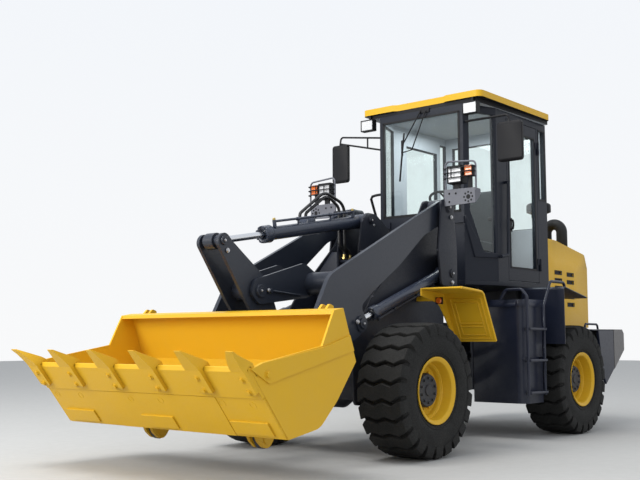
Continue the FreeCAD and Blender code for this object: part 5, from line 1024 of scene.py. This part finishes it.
def seat():
    cushion("seat_cushion", (-1126, -248, 1745), (-644, 248, 1848), -2.0, 12, (-0.45, 0.0, 0.45))
    cushion("seat_backrest", (-1478, -228, 2075), (-898, 228, 2165), -79.5, 12, (-0.5, -0.05, 0.4))
    base = Piece()
    base.box(-1080, -720, -190, 190, 1425, 1738)
    base.box(-1090, -800, 258, 322, 2046, 2088)
    base.box(-1060, -1022, 252, 288, 1782, 2046)
    base.make("seat_base", black, "rear_frame", "black_plastic", bevel=12, replaces=("seat",))


# All pieces of the visual model

for end, x in (("front", AXLE_X), ("rear", -AXLE_X)):
    for side, sign in SIDES:
        for piece in (tyre_tread, hub_fittings, rim_fittings):
            piece("%s_%s" % (end, side), x, sign)
cutting_edge_plate()
forged_teeth()
bucket_floor_plates()
capped_pins("boom", "boom_body", boom_paint, (
    (CRANK_PIN, 152, 48, (2222, 1262)),
    (LIFT_EYE, 567, 40, (1690, 1030)),
))
capped_pins("crank", "bellcrank_body", boom_paint, (
    (TILT_EYE, 117, 34, (2618, 1535)),
))
capped_pins("tower", "front_frame", frame_paint, (
    (BOOM_PIN, 606, 42, (414, 1941)),
    (LIFT_BASE, 602, 38, (406, 1380)),
    (TILT_BASE, 131, 26, None),
), ((875, 125, 1868),))
tilt_pipe()
hose_fittings()
for side, sign in SIDES:
    lift_pipe(side, sign)
tilt_rod()
boom_grease_lines()
fender_trim()
headlamp_trim()
work_lamp_trim()
window_seals()
door_trim()
wipers()
grab_bar()
counterweight()
rear_deck()
hood_slot_shade()
seat()


# Floor, light and camera, in metres

FLOOR_SIZE = 60
HORIZON, ZENITH = (0.95, 0.955, 0.96, 1.0), (0.86, 0.90, 0.96, 1.0)
CAMERA_PLACE = (7.4601, 5.0310, 0.9120)
CAMERA_YAW, CAMERA_PITCH, CAMERA_ROLL = -140.078, 5.784, -0.130
CAMERA_LENS, CAMERA_SENSOR = 54.25, 36.0


def pale_floor():
    bpy.ops.mesh.primitive_plane_add(size=FLOOR_SIZE, location=(0, 0, 0))
    floor = bpy.context.object
    floor.name = "floor"
    floor.data.materials.append(floor_paint)


def soft_sky():
    """A pale sky that is a little bluer overhead."""
    world = bpy.data.worlds.new("sky")
    bpy.context.scene.world = world
    world.use_nodes = True
    tree = world.node_tree
    tree.nodes.clear()
    background = tree.nodes.new("ShaderNodeBackground")
    world_out = tree.nodes.new("ShaderNodeOutputWorld")
    coord = tree.nodes.new("ShaderNodeTexCoord")
    split = tree.nodes.new("ShaderNodeSeparateXYZ")
    tree.links.new(coord.outputs["Generated"], split.inputs[0])
    height = ramp(tree, split.outputs["Z"], -0.05, 0.6)
    tree.links.new(mix_colour(tree, height, HORIZON, ZENITH), background.inputs["Color"])
    background.inputs["Strength"].default_value = 1.0
    tree.links.new(background.outputs[0], world_out.inputs[0])


def area_light(name, place, target, size, power, colour):
    """A square soft light aimed at a target, unseen by the camera itself."""
    light = bpy.data.lights.new(name, "AREA")
    light.shape = "RECTANGLE"
    light.size = size
    light.size_y = size
    light.energy = power
    light.color = colour
    item = bpy.data.objects.new(name, light)
    bpy.context.scene.collection.objects.link(item)
    item.location = place
    item.visible_camera = False
    item.rotation_mode = "QUATERNION"
    item.rotation_quaternion = (Vector(target) - Vector(place)).to_track_quat("-Z", "Y")


def photo_camera():
    """The camera where the photograph was taken from."""
    camera = bpy.data.cameras.new("camera")
    item = bpy.data.objects.new("camera", camera)
    bpy.context.scene.collection.objects.link(item)
    bpy.context.scene.camera = item
    camera.lens = CAMERA_LENS
    camera.sensor_width = CAMERA_SENSOR
    yaw, pitch, roll = (math.radians(a) for a in (CAMERA_YAW, CAMERA_PITCH, CAMERA_ROLL))
    forward = Vector((math.cos(yaw) * math.cos(pitch), math.sin(yaw) * math.cos(pitch), math.sin(pitch)))
    right = forward.cross(Vector((0, 0, 1))).normalized()
    up = right.cross(forward)
    basis = Matrix((right, up, -forward)).transposed().to_4x4()
    place = Vector(CAMERA_PLACE) + Vector((PIVOT_X / 1000, 0, 0))
    item.matrix_world = Matrix.Translation(place) @ basis @ Matrix.Rotation(roll, 4, "Z")


pale_floor()
soft_sky()
area_light("key", (4.0, -1.0, 12.0), (0.3, 0, 1), 5.0, 900, (1.0, 0.98, 0.95))
area_light("fill", (7.0, 7.0, 7.0), (0, 0, 1.2), 6.0, 80, (0.96, 0.98, 1.0))
area_light("front", (10.0, -3.0, 4.5), (2.4, 0, 0.8), 4.0, 620, (1.0, 0.99, 0.96))
area_light("cab", (-1.15, 0.0, 3.02), (-1.15, 0, 1.0), 0.8, 14, (0.95, 0.98, 1.0))
photo_camera()
bpy.context.scene.view_settings.view_transform = "Standard"

bpy.context.view_layer.update()
